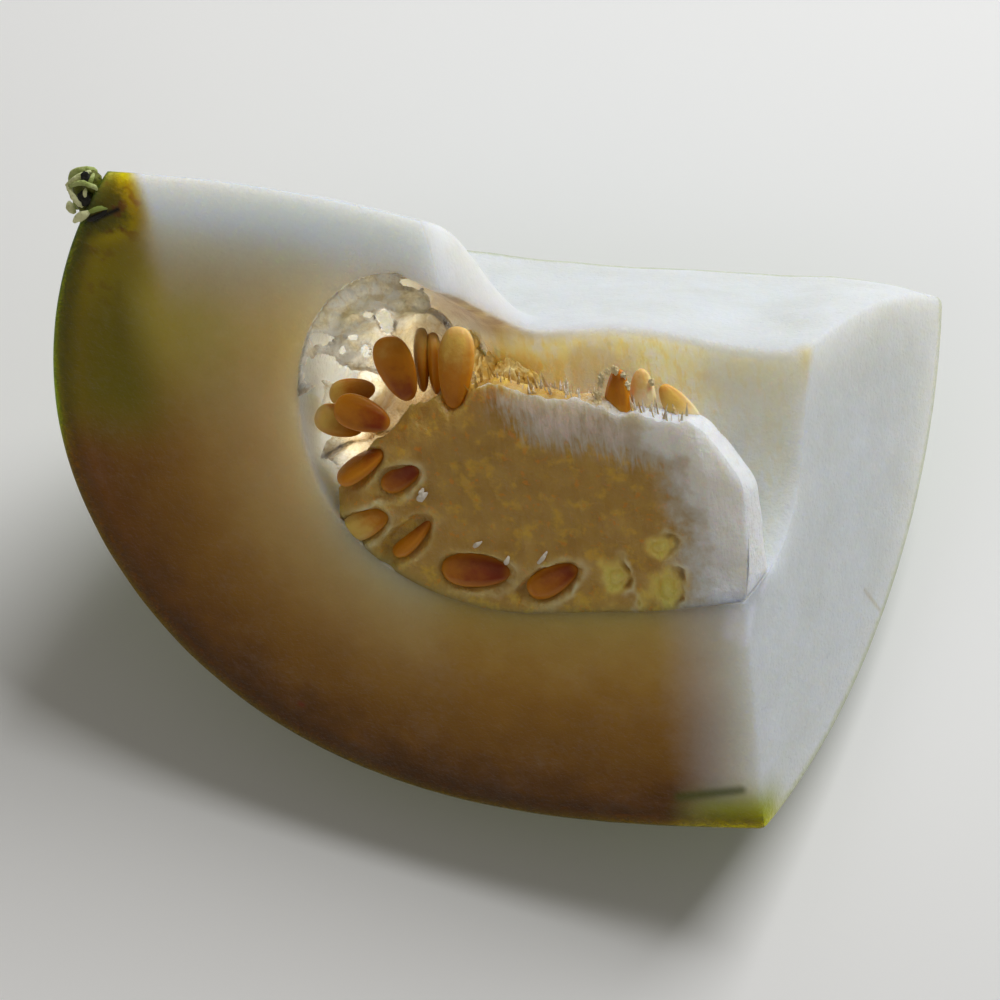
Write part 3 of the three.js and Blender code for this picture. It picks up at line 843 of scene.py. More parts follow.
seedLook = {
    "thickness": 2.5,
    "tipShare": 0.22,
    "rows": 34,
    "ring": 36,
    "cream": srgb(246, 232, 190),
    "pale": srgb(236, 200, 100),
    "amber": srgb(206, 130, 6),
    "dark": srgb(148, 54, 0),
    "marginAndHighlight": srgb(220, 148, 30),
    "seeds": [
        ((-53.5, 3.6, 9.9), (0.17, 0.05, -0.98), (0.2, -1, 0.1), 11.6, 6.0, 0.62),
        ((-50.5, 7.6, 9.4), (-0.14, 0, -0.98), (1, 0.3, 0), 11, 4.8, 0.4),
        ((-48.6, 7.8, 8.6), (-0.1, 0, -0.98), (1, 0.35, 0), 10.6, 4.8, 0.46),
        ((-43.8, 4.0, 9.6), (-0.17, -0.26, -0.95), (-0.2, -1, 0.1), 13.2, 6.0, 0.36),
        ((-62.6, 5.6, 5.2), (0.92, 0.1, 0.05), (0, -0.7, 0.8), 7.6, 4.6, 0.4),
        ((-60.1, 1.7, 2.9), (0.9, 0, -0.4), (0.1, -0.95, 0.3), 9.4, 5.6, 0.72),
        ((-65.6, 4.9, 0.2), (0.75, 0.3, -0.5), (-0.2, -0.8, 0.5), 8.2, 5, 0.3),
        ((-62.3, 2.6, -6.6), (0.87, 0.1, 0.48), (-0.45, -0.35, 0.8), 9.8, 5.4, 0.62),
        ((-55.6, 2.0, -8.4), (0.9, 0, 0.44), (0.2, -1, 0.3), 8.2, 4.4, 0.8),
        ((-63.2, 1.5, -16.7), (0.92, 0, 0.38), (0, -1, 0.15), 9.4, 4.8, 0.2),
        ((-55.6, 2.7, -19.1), (0.75, 0.05, 0.66), (-0.5, -0.45, 0.7), 10.6, 5.6, 0.62),
        ((-45.6, 1.7, -25.6), (1, 0, -0.09), (0, -1, 0.25), 11.8, 6.0, 0.86),
        ((-32.9, 1.7, -27.6), (0.88, 0, 0.48), (0.1, -1, 0.2), 10.0, 4.8, 0.72),
        ((-18, 3.0, 3.6), (0.16, 0.1, 0.98), (-0.5, -1, 0.1), 10.4, 4.8, 0.42),
        ((-14.3, 4.4, 3.2), (0.08, 0.1, 0.98), (-0.2, -1, 0.1), 9.6, 4.6, -0.32),
        ((-8.6, 4.4, 0.9), (-0.42, -0.1, 0.9), (0.2, -1, 0.2), 10.2, 4.4, -0.12),
    ],
    "emptyBeds": [
        ((-21.5, 0.6, -26.8), (0.29, 0, 0.96), (0, -1, 0), 8.5, 4.6, 0),
        ((-13.1, 0.6, -28.4), (0.45, 0, 0.89), (0, -1, 0), 7.8, 6, 0),
        ((-13.6, 0.5, -21.3), (0.83, 0, 0.56), (0, -1, 0), 5, 3.4, 0),
    ],
}


def seedAxes(along, face):
    # three directions at right angles: along, facing less its share along, and their cross product
    lengthwise = unit(along)
    facing = unit(np.array(face) - lengthwise * (np.array(face) @ lengthwise))
    return lengthwise, facing, np.cross(lengthwise, facing)


def seedFinish():
    f = Finish("seedFinish")
    look = seedLook
    tone, marginAndHighlight = f.attribute("tone"), f.attribute("marginAndHighlight")
    cloud = (f.noise(2.2, 4, 0.6) - 0.5) * 0.5
    shade = tone + cloud
    body = f.blend(shade.step(-0.4, 0.0), look["cream"], look["pale"])
    body = f.blend(shade.step(0.0, 0.45), body, look["amber"])
    body = f.blend(shade.step(0.4, 1.0), body, look["dark"])
    edge = f.blend(tone.step(-0.3, 0.25), look["cream"], look["marginAndHighlight"])
    # the margin colour: partly the seed's own rim, partly a painted highlight round the edge
    colour = f.blend(marginAndHighlight * (0.62 + cloud), body, edge)
    height = f.noise(0.5, 2, 0.5) + f.noise(1.4, 2) * 0.5
    return f.surface(
        baseColor=colour,
        roughness=0.26 + f.noise(1.2, 2) * 0.2,
        specularIorLevel=0.3,
        subsurfaceWeight=0.55,
        subsurfaceScale=0.0016,
        subsurfaceRadius=(1.0, 0.5, 0.18),
        coatWeight=0.06,
        coatRoughness=0.12,
        normal=f.bump(height, 0.08),
    )


def buildSeeds():
    # half width follows sin^0.8 along the seed, narrowed towards the point; the two faces follow
    # sin^0.75 round it, so they are nearly flat, with a shallow groove inside a raised margin
    look = seedLook
    finish = seedFinish()
    s = np.linspace(0, 1, look["rows"] + 2)[1:-1, None]
    s = s - 0.6 * np.sin(2 * math.pi * s) / (2 * math.pi)
    angle = np.arange(look["ring"])[None] / look["ring"] * 2 * math.pi
    ahead = -np.cos(s * math.pi)
    full = np.sin(s * math.pi) ** 0.8 * (1 - look["tipShare"] * ahead)
    across = full * np.cos(angle)
    out = np.abs(np.cos(angle))
    flat = np.sign(np.sin(angle)) * np.abs(np.sin(angle)) ** 0.75
    groove = 1 - 0.16 * bell(out, 0.78, 0.1)
    marginAndHighlight = np.maximum(ease(0.5, 1.0, out + 0 * s), ease(0.7, 1.0, np.abs(ahead) + 0 * angle))
    for number, (centre, along, face, length, width, tone) in enumerate(look["seeds"], 1):
        lengthwise, facing, sideways = seedAxes(along, face)
        thick = look["thickness"] / 2 * full**0.8 * flat * groove
        bow = 0.25 * (1 - ahead**2) * np.sin(number * 2.1)
        grid = (
            np.array(centre)
            + lengthwise * (ahead * length / 2 + 0 * angle)[..., None]
            + sideways * (across * width / 2)[..., None]
            + facing * (thick + bow * 0.6)[..., None]
        )
        grid = grid + 0.06 * layered(grid, 2.0, number)[..., None] * facing
        ends = [np.array(centre) + lengthwise * (k * length / 2) for k in (-1, 1)]
        # the tone rises towards the point: partly the seed's own tone, partly painted light and shade, the
        # blunt end lighter
        values = {"marginAndHighlight": marginAndHighlight, "tone": 0 * marginAndHighlight + tone + 0.34 * (ahead - 0.1)}
        name = f"seed_{number:02d}"
        ballPiece("seed" + str(number), grid, ends, values, finish, [name])


# Core: the spongy middle

coreLook = {
    "softness": 0.006,
    "top": 7.8,
    "backStart": 3,
    "backEnd": 18,
    "backLevel": -18,
    "leftEnd": -67.0,
    "frontRows": 132,
    "topRows": 54,
    "wallRows": 20,
    "columns": 210,
    "honey": srgb(216, 176, 92),
    "brown": srgb(188, 144, 52),
    "yellow": srgb(236, 194, 70),
    "orange": srgb(232, 158, 44),
    "grey": srgb(218, 208, 186),
    "white": srgb(246, 249, 252),
    "lilac": srgb(240, 232, 226),
    "rim": srgb(248, 236, 190),
    "pit": srgb(255, 228, 118),
    # painted shade in the deep crescents of the empty beds
    "dark": srgb(128, 88, 20),
    # a seed's number, how deep it sits in the core, and how bright the rim round it is
    "sockets": [
        (4, 3.2, 0.1),
        (8, 1.2, 0.3),
        (9, 1.2, 1.0),
        (10, 1.2, 1.0),
        (11, 1.3, 0.4),
        (12, 1.5, 0.5),
        (13, 1.5, 1.0),
    ],
}


def coreTop(x):
    # highest at x = -36; falls by a square to the left, by a slope to the right, and by a square
    # more at the tip; two sines make the fringe
    left, right, tip = np.maximum(0, -36 - x), np.maximum(0, x + 36), np.maximum(0, x + 7)
    fringe = 0.3 * np.sin(0.83 * x + 1) + 0.25 * np.sin(0.47 * x)
    return coreLook["top"] - 0.0195 * left**2 - 0.26 * right - 0.18 * tip**2 + fringe


def coreBack(x, y):  # the top falls away behind, and sooner at the right end
    top, right = coreTop(x), ease(-10, -2, x)
    level = np.minimum(lerp(coreLook["backLevel"], -34, right), top - 4)
    fall = ease(lerp(coreLook["backStart"], 7.2, right), lerp(coreLook["backEnd"], 8.6, right), y)
    return lerp(top - 0.57 * right * y, level, fall)


def coreFront(x, z):  # leans back at the right end, and rounds back into the tissue at the upper left
    start = lerp(-4.6, -7.6, ease(-8, 1, z))
    leaning = 0.4 * np.maximum(0, x - start) * ease(-36, -26, z)
    return leaning + 2.6 * ease(-40, -50, x) * ease(-7, 1.5, z - coreTop(x))


def bedShare(x, z, bed):
    # about 1 on the outline of a seed as the front shows it, less inside and more outside, and
    # how far to the right of its middle a point is
    centre, along, face, length, width = bed[:5]
    lengthwise, facing, sideways = seedAxes(along, face)
    flatAlong = np.array([lengthwise[0], lengthwise[2]])
    reach = np.linalg.norm(flatAlong)
    flatAlong = flatAlong / max(reach, 1e-6)
    wide = width / 2 * abs(facing[1]) + seedLook["thickness"] / 2 * abs(sideways[1])
    right, above = x - centre[0], z - centre[2]
    u = (right * flatAlong[0] + above * flatAlong[1]) / (length / 2 * reach + 0.3)
    v = (above * flatAlong[0] - right * flatAlong[1]) / (wide * np.maximum(1 - 0.22 * u, 0.3) + 0.3)
    reachX = np.hypot(length / 2 * lengthwise[0], width / 2 * sideways[0]) + 0.3
    return np.sqrt(u**2 + v**2), right / reachX


def coreFinish(name, softness):
    f = Finish(name)
    look = coreLook
    pale, rim, pit = f.attribute("pale"), f.attribute("rim"), f.attribute("pit")
    fibre = f.stretched((1.0, 1.0, 0.22))
    streak = f.noise(0.9, 3, 0.6, fibre)
    cloud = f.noise(5, 3, 0.6)
    body = f.blend((cloud * 1.5 - 0.25), look["brown"], look["honey"])
    body = f.blend(f.noise(2.9, 3, 0.6).step(0.5, 0.7) * 0.75, body, look["yellow"])
    body = f.blend(f.noise(1.5, 3, 0.6).step(0.58, 0.7) * 0.7, body, look["orange"])
    body = f.blend((streak - 0.45) * 0.8, body, look["honey"])
    fuzz = f.attribute("fuzz")
    wisp = f.noise(0.8, 3, 0.6, f.stretched((1.0, 0.6, 0.24)), 0.6)
    blurred = fuzz + ((wisp - 0.5) * 1.3 + (cloud - 0.5) * 0.5) * fuzz.step(0.02, 0.3)
    body = f.blend(blurred.step(0.05, 0.6), body, look["grey"])
    body = f.blend(blurred.step(0.4, 1.0), body, look["lilac"])
    spot = f.noise(1.7, 3, 0.6)
    blurred = pale + ((spot - 0.5) * 0.7 + (cloud - 0.5) * 0.8) * pale.step(0.02, 0.35)
    body = f.blend(blurred.step(0.05, 0.6), body, look["grey"])
    body = f.blend(blurred.step(0.4, 1.0), body, look["white"])
    body = f.blend(rim * 0.75, body, look["rim"])
    body = f.blend(pit * (0.65 + f.noise(1.4, 3, 0.6) * 0.6).least(1.0), body, look["pit"])
    # painted shade in the crescents of the empty beds
    body = f.blend(f.attribute("dark") * 0.85, body, look["dark"])
    height = streak * 0.8 + f.noise(0.5, 2, 0.6) * 0.5 + f.noise(1.8, 2, 0.6)
    return f.surface(
        baseColor=body,
        roughness=0.28 + 0.25 * f.noise(2.0, 3),
        subsurfaceWeight=0.85 if softness else 0.0,
        specularIorLevel=0.4,
        subsurfaceScale=softness,
        subsurfaceRadius=(1.0, 0.8, 0.5),
        coatWeight=0.15,
        coatRoughness=0.2,
        normal=f.bump(height, 0.6),
    )


def coreGrid():
    # at each place along the gourd the section runs up the front, over the top and down the back,
    # and returns along the hollow's wall
    look = coreLook
    x = lerp(look["leftEnd"], 0.0, np.linspace(0, 1, look["columns"]) ** 0.9)[:, None]
    low = -hollowRadius(x, 0 * x)
    high = np.maximum(coreTop(x), low + 0.4)
    up = np.linspace(0, 1, look["frontRows"])[None]
    frontZ = low + (high - low) * (up - 0.4 * np.sin(2 * math.pi * up) / (2 * math.pi))
    front = xyz(x + 0 * frontZ, coreFront(x, frontZ), frontZ)

    def past(y):
        z = np.minimum(coreBack(x, y), high)
        return np.hypot(y, z) > hollowRadius(x, np.arctan2(y, -z))

    start = coreFront(x, high)
    backY = np.maximum(bisect(past, 0 * x, 0 * x + 40), start + 0.3)
    over = np.linspace(0, 1, look["topRows"] + 1)[None, 1:]
    topY = start + (backY - start) * over
    topZ = np.minimum(coreBack(x, topY), high)
    top = xyz(x + 0 * topY, topY, topZ)
    angle = np.arctan2(backY, -topZ[:, -1:])
    down = np.linspace(1, 0, look["wallRows"] + 2)[None, 1:-1]
    wall = onHollow(x + 0 * down, angle * down)
    wall[..., 1:] = wall[..., 1:] * (1 + 0.006 * ease(-66, -62, x))[..., None]
    return np.concatenate([front, top, wall], 1), low


def coreBeds(gx, gy, gz):
    # how far the front is sunk round seeds and empty beds, and the shares of bright rims, of
    # empty beds and of the dark crescents in those, painted shade on the sunk side of each bed
    place = xyz(gx, gy, gz)
    uneven = np.clip(0.6 + 0.7 * layered(place, 2.4, 41, 2), 0, 1)
    blur = 0.32 * layered(place, 3.0, 43, 3)
    sunk, rim, pit, dark = (np.zeros_like(gx) for _ in range(4))
    for number, deep, edge in coreLook["sockets"]:
        share, side = bedShare(gx, gz, seedLook["seeds"][number - 1])
        share = share + blur * ease(0.7, 1.2, share)
        sunk = np.maximum(sunk, (1 - ease(0.75, 1.25, share)) * deep)
        rim = np.maximum(rim, bell(share, 1.2, 0.22) * edge * uneven * ease(-1.3, 0.6, side))
    for bed in seedLook["emptyBeds"]:
        share, side = bedShare(gx, gz, bed)
        share = share * (1 + 1.3 * blur) + 0.5 * blur
        crescent = bell(share, 0.8, 0.2) * ease(0.15, 0.9, side) * uneven
        sunk = np.maximum(sunk, 1.1 * crescent + 0.35 * bell(share, 0.4, 0.15))
        pit = np.maximum(pit, (1 - ease(0.5, 1.3, share)) * (1 - 0.8 * crescent))
        dark = np.maximum(dark, crescent)
        rim = np.maximum(rim, bell(share, 1.15, 0.16) * uneven * ease(-0.1, 0.8, side))
    return sunk, rim, pit, dark


def buildCore(finish):
    # the grid gets a fringe on top and fibres and beds in front, and its right end is sheared
    # onto the cross cut
    look = coreLook
    grid, low = coreGrid()
    gx, gy, gz = grid[..., 0], grid[..., 1], grid[..., 2]
    columns, ring = grid.shape[:2]
    j = np.arange(ring)[None] + np.zeros((columns, 1))
    topRow = look["frontRows"] - 1
    onFront = (j <= topRow) * 1.0
    jag = layered(xyz(gx, 0.3 * gy, 0 * gz), 2.2, 11, 3)
    spike = np.maximum(0, grain(xyz(gx, 0.5 * gy, 0 * gz), 1.3, 15)) ** 2
    lively = ease(-66, -56, gx) * (1 - ease(-9, -3, gx))
    gz = gz + bell(j, topRow, 9.0) * lively * (0.7 * jag + 0.7 * spike)
    frontGrain = layered(xyz(gx, gy, 0.25 * gz), 1.8, 21, 3)
    lumps = layered(xyz(gx, gy, gz), 4.0, 25, 2)
    sunk, rim, pit, dark = coreBeds(gx, gy, gz)
    edgeFade = np.clip((gz - low) / 3, 0, 1) * ease(-67, -60, gx)
    furrow = layered(xyz(gx, gy, 0.3 * gz), 1.5, 47, 2) * ease(-44, -30, gx)
    furrow = furrow * ease(-10, -3, gz - coreTop(gx))
    relief = (0.28 * frontGrain + 0.3 * lumps + 0.3) * edgeFade + 0.45 * furrow
    gy = gy + onFront * (relief + sunk - 0.35 * rim)
    gy = gy + (1 - onFront) * 0.5 * lumps * (j < topRow + look["topRows"])
    # the top stays behind the front's upper edge
    behind = np.maximum(gy, gy[:, topRow, None] + 0.02 * (j - topRow))
    gy = np.where((j > topRow) & (j < topRow + look["topRows"]), behind, gy)
    gx = gx + ease(-35, 0, gx) * crossCut(gy, gz)
    grid = xyz(gx, np.maximum(gy, 0.02), gz)

    fromTop = gz - coreTop(gx)
    rightward = np.maximum(ease(-17, -2.5, gx), ease(-20, -11, gx) * ease(-10, -4, fromTop))
    pale = np.maximum(onFront * rightward, (1 - onFront) * ease(-26, -10, gx))
    band = ease(-13, -3.0, fromTop) * lerp(0.72, 0.45, ease(-16, -6, gx))
    fuzz = ease(-44, -28, gx) * np.where(onFront > 0, band, lerp(0.12, 0.8, ease(-26, -12, gx)))

    def closing(loop, rows):  # rings from an end's loop to its middle point
        middle = loop.mean(0)
        share = np.linspace(0, 1, rows + 1)[1:-1, None, None]
        return loop[None] + (middle - loop[None]) * share, middle

    leftCap, leftEnd = closing(grid[0], 5)
    rightCap, rightEnd = closing(grid[-1], 18)
    full = np.concatenate([leftCap[::-1], grid, rightCap])

    def extend(value, atRight=0.0):  # carries a share on over both ends
        left, right = np.zeros((len(leftCap), ring)), np.full((len(rightCap), ring), atRight)
        return np.concatenate([left, value, right])

    values = {
        "pale": extend(np.clip(pale, 0, 1), 1.0),
        "fuzz": extend(np.clip(fuzz, 0, 1)),
        "rim": extend(rim * onFront),
        "pit": extend(pit * onFront),
        "dark": extend(dark * onFront),
    }
    rows = np.arange(len(full))[:, None] + np.zeros(ring)
    rightRow = len(leftCap) + columns - 1
    full = soften(full, 0.8 * bell(rows, rightRow, 3.0), 0 * full[..., 0], 10)
    return ballPiece("spongyCore", full, (leftEnd, rightEnd), values, finish, ["core"])


# Curtain: ragged pale tissue behind the upper seeds

curtainLook = {
    "front": 5.6,
    "thickness": 0.7,
    "leftEdge": -70.4,
    "rightEdge": -42.5,
    "heights": (-19, 28.5),
    "columns": 116,
    "rows": 184,
    # holes: x, z and their half widths
    "windows": [
        (-65.0, 9.4, 3.4, 4.7),
        (-64.1, 16.6, 2.2, 1.2),
        (-54.6, 17.2, 1.3, 2.4),
        (-56.3, 19.4, 0.7, 1.1),
        (-68.0, -1.4, 1.2, 1.7),
        (-58.8, 12.2, 0.6, 1.3),
        (-60.2, 15.4, 0.5, 0.6),
        (-61.6, 13.8, 0.4, 0.6),
    ],
    "tan": srgb(244, 220, 162),
    "white": srgb(252, 246, 226),
    "crumb": srgb(198, 158, 104),
    "gold": srgb(184, 128, 56),
}


def curtainFinish():
    f = Finish("curtainFinish")
    look = curtainLook
    # painted light paler round the holes and on the lumps, and painted shade darker in the creases between
    # them
    paintedLight = f.attribute("paintedLight")
    cloud = f.noise(2.6, 4, 0.6)
    colour = f.blend((paintedLight + cloud * 1.2 - 0.6).step(0.1, 0.7), look["tan"], look["white"])
    colour = f.blend(f.noise(1.1, 4, 0.7).step(0.56, 0.7) * 0.45, colour, look["crumb"])
    lumps = f.cells(2.3) + (f.noise(0.9, 3, 0.6) - 0.5) * 0.5
    colour = f.blend(lumps.step(0.42, 0.8) * 0.8, colour, look["crumb"])
    colour = f.blend(f.attribute("paintedCreaseShade") * 0.7, colour, look["crumb"])
    colour = f.blend(f.attribute("gold") * (0.7 + cloud * 0.6).least(1.0), colour, look["gold"])
    height = f.noise(1.2, 4, 0.6) + f.noise(0.4, 2) * 0.4 - lumps * 1.5
    return f.surface(
        baseColor=colour,
        roughness=0.35 + 0.3 * f.noise(1.5, 3),
        subsurfaceWeight=1.0,
        subsurfaceScale=0.014,
        subsurfaceRadius=(1.0, 0.85, 0.65),
        coatWeight=0.1,
        coatRoughness=0.15,
        normal=f.bump(height, 0.6),
    )


def keptFaces(points, quads, keep):
    # drops the quads that have a corner outside, and the points that no face needs any more
    quads = quads[keep[quads].all(1)]
    used = np.zeros(len(points), bool)
    used[quads.ravel()] = True
    fresh = np.cumsum(used) - 1
    return points[used], fresh[quads], used


def sheetQuads(rows, columns):  # quads between the neighbouring points of an open grid
    at = np.arange(rows * columns).reshape(rows, columns)
    return np.stack([at[:-1, :-1], at[1:, :-1], at[1:, 1:], at[:-1, 1:]], -1).reshape(-1, 4)


def buildCurtain(finish):
    # the sheet's depth y over x and z: folds and lobes, brought forward at the hollow's rim and
    # pushed back behind the seeds; holes and the ragged edge are left out of the faces
    look = curtainLook
    rows = np.linspace(*look["heights"], look["rows"])
    share, z = np.meshgrid(np.linspace(0, 1, look["columns"]), rows)
    edge = look["rightEdge"] - 1.5 * np.sin(0.8 * z) - 4 * ease(12, 22, z)
    x = lerp(look["leftEdge"], edge, share)
    flat = xyz(x, 0 * x, z)
    fold = 0.7 * np.sin(0.75 * x + 0.2 * z) + 0.5 * np.sin(0.6 * z - 0.25 * x)
    lump, small = lobes(flat, 5.4, 3), lobes(flat, 2.2, 8)
    y = lerp(2.6, look["front"], ease(-3, 8, z)) + fold - 1.2 * ease(14, 24, z) + 1.6
    below = np.maximum(hollowRadius(x, np.where(z > 0, math.pi, 0.0)) - np.abs(z), 0)
    wide = np.where(z > 0, hollow["highRadius"], hollow["lowRadius"])
    leftward = (1 - np.clip(np.abs(z) / wide, 0, 1) ** 2.2) ** (1 / 1.8)
    leftEdge = hollow["lowBend"] + (hollow["left"] - hollow["lowBend"]) * leftward
    aside = np.maximum(x - leftEdge, 0)
    rimGap = below * aside / np.maximum(np.hypot(below, aside), 1e-6)
    inward = ease(0.0, lerp(9.0, 6.0, ease(0, 8, z)), rimGap)
    offRim = ease(0.0, 1.6, rimGap)
    y = lerp(0.4 + 2.2 * offRim, y, inward) + 0.5 * layered(flat, 2.0, 4)
    y = y - lerp(1.6, 3.4, inward * ease(2, 10, z)) * lump * offRim
    y = y - lerp(0.8, 1.5, ease(2, 10, z)) * small * offRim
    toCore = bell(np.maximum(z - coreTop(x), 0), 0, 2.6)
    y = lerp(y, 1.5 + 0.6 * layered(flat, 2.6, 6), 0.85 * toCore)
    for seed in seedLook["seeds"][:9]:
        centre, along, face, length, width = seed[:5]
        lengthwise, facing, sideways = seedAxes(along, face)
        sizes = np.array([length * lengthwise[1], seedLook["thickness"] * facing[1], width * sideways[1]])
        back = centre[1] + np.linalg.norm(sizes / 2) + 0.9
        y = np.maximum(y, lerp(back, y, ease(1.05, 1.9, bedShare(x, z, seed)[0])))

    def past(y):
        return np.hypot(y, z) > hollowRadius(x, np.arctan2(y, -z)) - 0.1

    wall = bisect(past, 0 * y, 0 * y + 40)
    y = np.minimum(np.maximum(y, 0.35), np.maximum(wall - 0.15, 0))
    ragged = layered(flat, 1.5, 31, 4)
    hole = np.full(x.shape, -1.0)
    for cx, cz, rx, rz in look["windows"]:
        hole = np.maximum(hole, 1 - np.hypot((x - cx) / rx, (z - cz) / rz) + 0.34 * ragged)
    torn = (1.7 - rimGap) / 3 * ease(9, 6, z) + 0.3 * ragged * ease(9, 6, z) * ease(5, 3, rimGap)
    hole = np.maximum(hole, torn - 2 * ease(6, 9, z))
    keep = (hole < 0) & (wall > 0.35) & (y < 20) & (z > coreTop(x) - 5) & (share < 0.96 + 0.06 * ragged)
    points, quads, used = keptFaces(xyz(x, y, z).reshape(-1, 3), sheetQuads(*x.shape), keep.ravel())
    # painted light round the holes and on the lumps, painted shade in the creases
    paintedLight = np.clip(ease(-0.9, -0.1, hole) + 0.3 * ease(0.4, 0.9, lump) + 0.2 * ease(0.4, 0.9, small), 0, 1)
    paintedCreaseShade = np.maximum(ease(0.45, 0.1, lump), 0.7 * ease(0.35, 0.0, small)) * ease(-0.2, -0.8, hole)
    gold = ease(8.0, 2.0, z - coreTop(x) + 1.2 * layered(flat, 3.0, 14)) * ease(-68, -60, x)
    gold = gold + 0.7 * ease(-56, -53, x) * ease(-42, -45, x) * ease(19, 13, z)
    values = {"paintedLight": paintedLight, "paintedCreaseShade": paintedCreaseShade, "gold": np.clip(gold, 0, 1)}
    values = {key: value.ravel()[used] for key, value in values.items()}
    none = np.zeros((0, 3), int)
    piece = meshPiece("tissueCurtain", points, quads, none, values, finish, ["curtain"])
    thicken = piece.modifiers.new("thickness", "SOLIDIFY")
    thicken.thickness, thicken.offset = look["thickness"] / 1000, 1
    return piece


# Tubes: a flattened oval carried along a smooth path, tapered to both ends

def smoothPath(points, count):
    # Catmull-Rom through the points: each span mixes its four neighbours by cubic weights
    points = np.asarray(points, float)
    padded = np.concatenate([[2 * points[0] - points[1]], points, [2 * points[-1] - points[-2]]])
    t = np.linspace(0, len(points) - 1 - 1e-9, count)
    k = np.floor(t).astype(int)
    u = (t - k)[:, None]
    a, b, c, d = (padded[k + n] for n in range(4))
    return 0.5 * (2 * b + (c - a) * u + (2 * a - 5 * b + 4 * c - d) * u**2 + (3 * b - a - 3 * c + d) * u**3)


def tube(path, wide, thick, ring, facing):
    # rings across the path, thin towards the facing direction; the halves may change along it
    along = unit(np.gradient(path, axis=0))
    facing = np.asarray(facing, float)
    out = unit(facing - along * (along @ facing)[:, None])
    across = np.cross(along, out)
    angle = np.arange(ring) / ring * 2 * math.pi
    return (
        path[:, None]
        + across[:, None] * (np.cos(angle)[None, :, None] * wide[:, None, None])
        + out[:, None] * (np.sin(angle)[None, :, None] * thick[:, None, None])
    )


def blob(centre, size, rough, seed, peak=0.0):
    # a ball stretched by its three half sizes, made uneven, and drawn out upwards by the peak
    s, turn = np.linspace(0, math.pi, 30)[1:-1], np.arange(32) / 32 * 2 * math.pi
    s, turn = np.meshgrid(s, turn, indexing="ij")
    ball = xyz(np.sin(s) * np.cos(turn), np.sin(s) * np.sin(turn), -np.cos(s))
    uneven = 1 + rough * layered(ball + 7 * seed, 0.6, seed, 3)
    narrow = 1 - peak * np.clip(ball[..., 2:], 0, 1)
    shape = ball * uneven[..., None] * np.concatenate([narrow, narrow, 1 + 0 * narrow], -1)
    return np.array(centre) + shape * np.array(size)


def joined(bodies):
    # several closed bodies as one list of points, quads and triangles, with each body's value at
    # its points; every grid closes onto the middle of its first and of its last ring
    points, quads, fans, tags = [], [], [], []
    start = 0
    for grid, tag in bodies:
        own = np.concatenate([grid[0].mean(0)[None], grid.reshape(-1, 3), grid[-1].mean(0)[None]])
        q, t = ballFaces(*grid.shape[:2])
        if signedVolume(own, q, t) < 0:
            q, t = q[:, ::-1], t[:, ::-1]
        points.append(own)
        quads.append(q + start)
        fans.append(t + start)
        tags.append(np.full(len(own), tag))
        start += len(own)
    return tuple(np.concatenate(part) for part in (points, quads, fans, tags))


# Stem stub: a knot with dried strips curling over it

stemLook = {
    # knots: centre and half sizes; hole shadows: centre and size; strips: points along the strip, its
    # half width, and its tone from dark (below 0) through green to cream (1); the hole shadows and the dark
    # strip are painted shade, near black where holes and slits are
    "knots": [
        ((-99.4, 3.2, 42.4), (2.4, 2.2, 4.0)),
        ((-97.6, 1.9, 44.9), (1.6, 1.5, 1.9)),
        ((-99.3, 2.0, 40.6), (1.5, 1.6, 1.9)),
    ],
    "hollows": [((-97.7, 0.5, 46.2), 0.8), ((-98.7, 0.4, 42.6), 1.1)],
    "strips": [
        ([(-102.0, 1.4, 44.7), (-100.0, 0.6, 45.9), (-98.5, 0.6, 46.6), (-97.1, 1.2, 46.9)], 0.5, 0.75),
        (
            [
                (-101.5, 0.9, 44.6),
                (-99.6, 0.0, 45.4),
                (-98.1, -0.2, 45.5),
                (-96.8, -0.2, 45.0),
                (-96.1, 0.1, 44.2),
            ],
            0.45,
            0.5,
        ),
        ([(-96.4, 0.8, 46.8), (-96.8, 0.1, 45.9), (-97.6, 0.2, 44.7)], 0.38, 0.45),
        ([(-101.7, 1.0, 44.8), (-100.6, 0.0, 43.9), (-100.0, -0.1, 42.6), (-99.4, 0.3, 41.4)], 0.5, 1.0),
        ([(-98.3, 0.3, 44.4), (-98.3, -0.2, 43.9), (-98.6, 0.3, 42.8)], 0.32, 1.0),
        ([(-102.4, 1.6, 41.8), (-101.9, 0.8, 41.3), (-101.4, 1.0, 40.1)], 0.75, 0.85),
        ([(-101.6, 0.6, 38.9), (-99.9, -0.2, 40.0), (-98.3, -0.3, 40.7)], 0.75, 0.95),
        ([(-99.3, -0.2, 40.2), (-97.6, -0.3, 40.9), (-96.3, -0.2, 41.2), (-95.1, 0.1, 41.0)], 0.42, 0.3),
        ([(-100.4, 0.6, 38.7), (-98.4, 0.0, 39.4), (-96.5, -0.1, 40.1), (-95.1, 0.1, 40.8)], 0.4, -0.2),
        ([(-102.2, 3.4, 44.4), (-100.9, 3.0, 46.0), (-98.4, 2.4, 46.6), (-96.6, 2.4, 46.4)], 0.8, 0.5),
        ([(-102.8, 4.0, 42.0), (-102.2, 4.4, 43.6), (-100.0, 4.8, 44.8)], 0.8, 0.4),
        ([(-102.4, 3.8, 39.6), (-102.2, 5.0, 41.2), (-100.4, 5.6, 42.6)], 0.8, 0.5),
    ],
    "olive": srgb(104, 108, 14),
    "green": srgb(160, 178, 84),
    "cream": srgb(246, 248, 190),
    "dark": srgb(16, 12, 3),
}


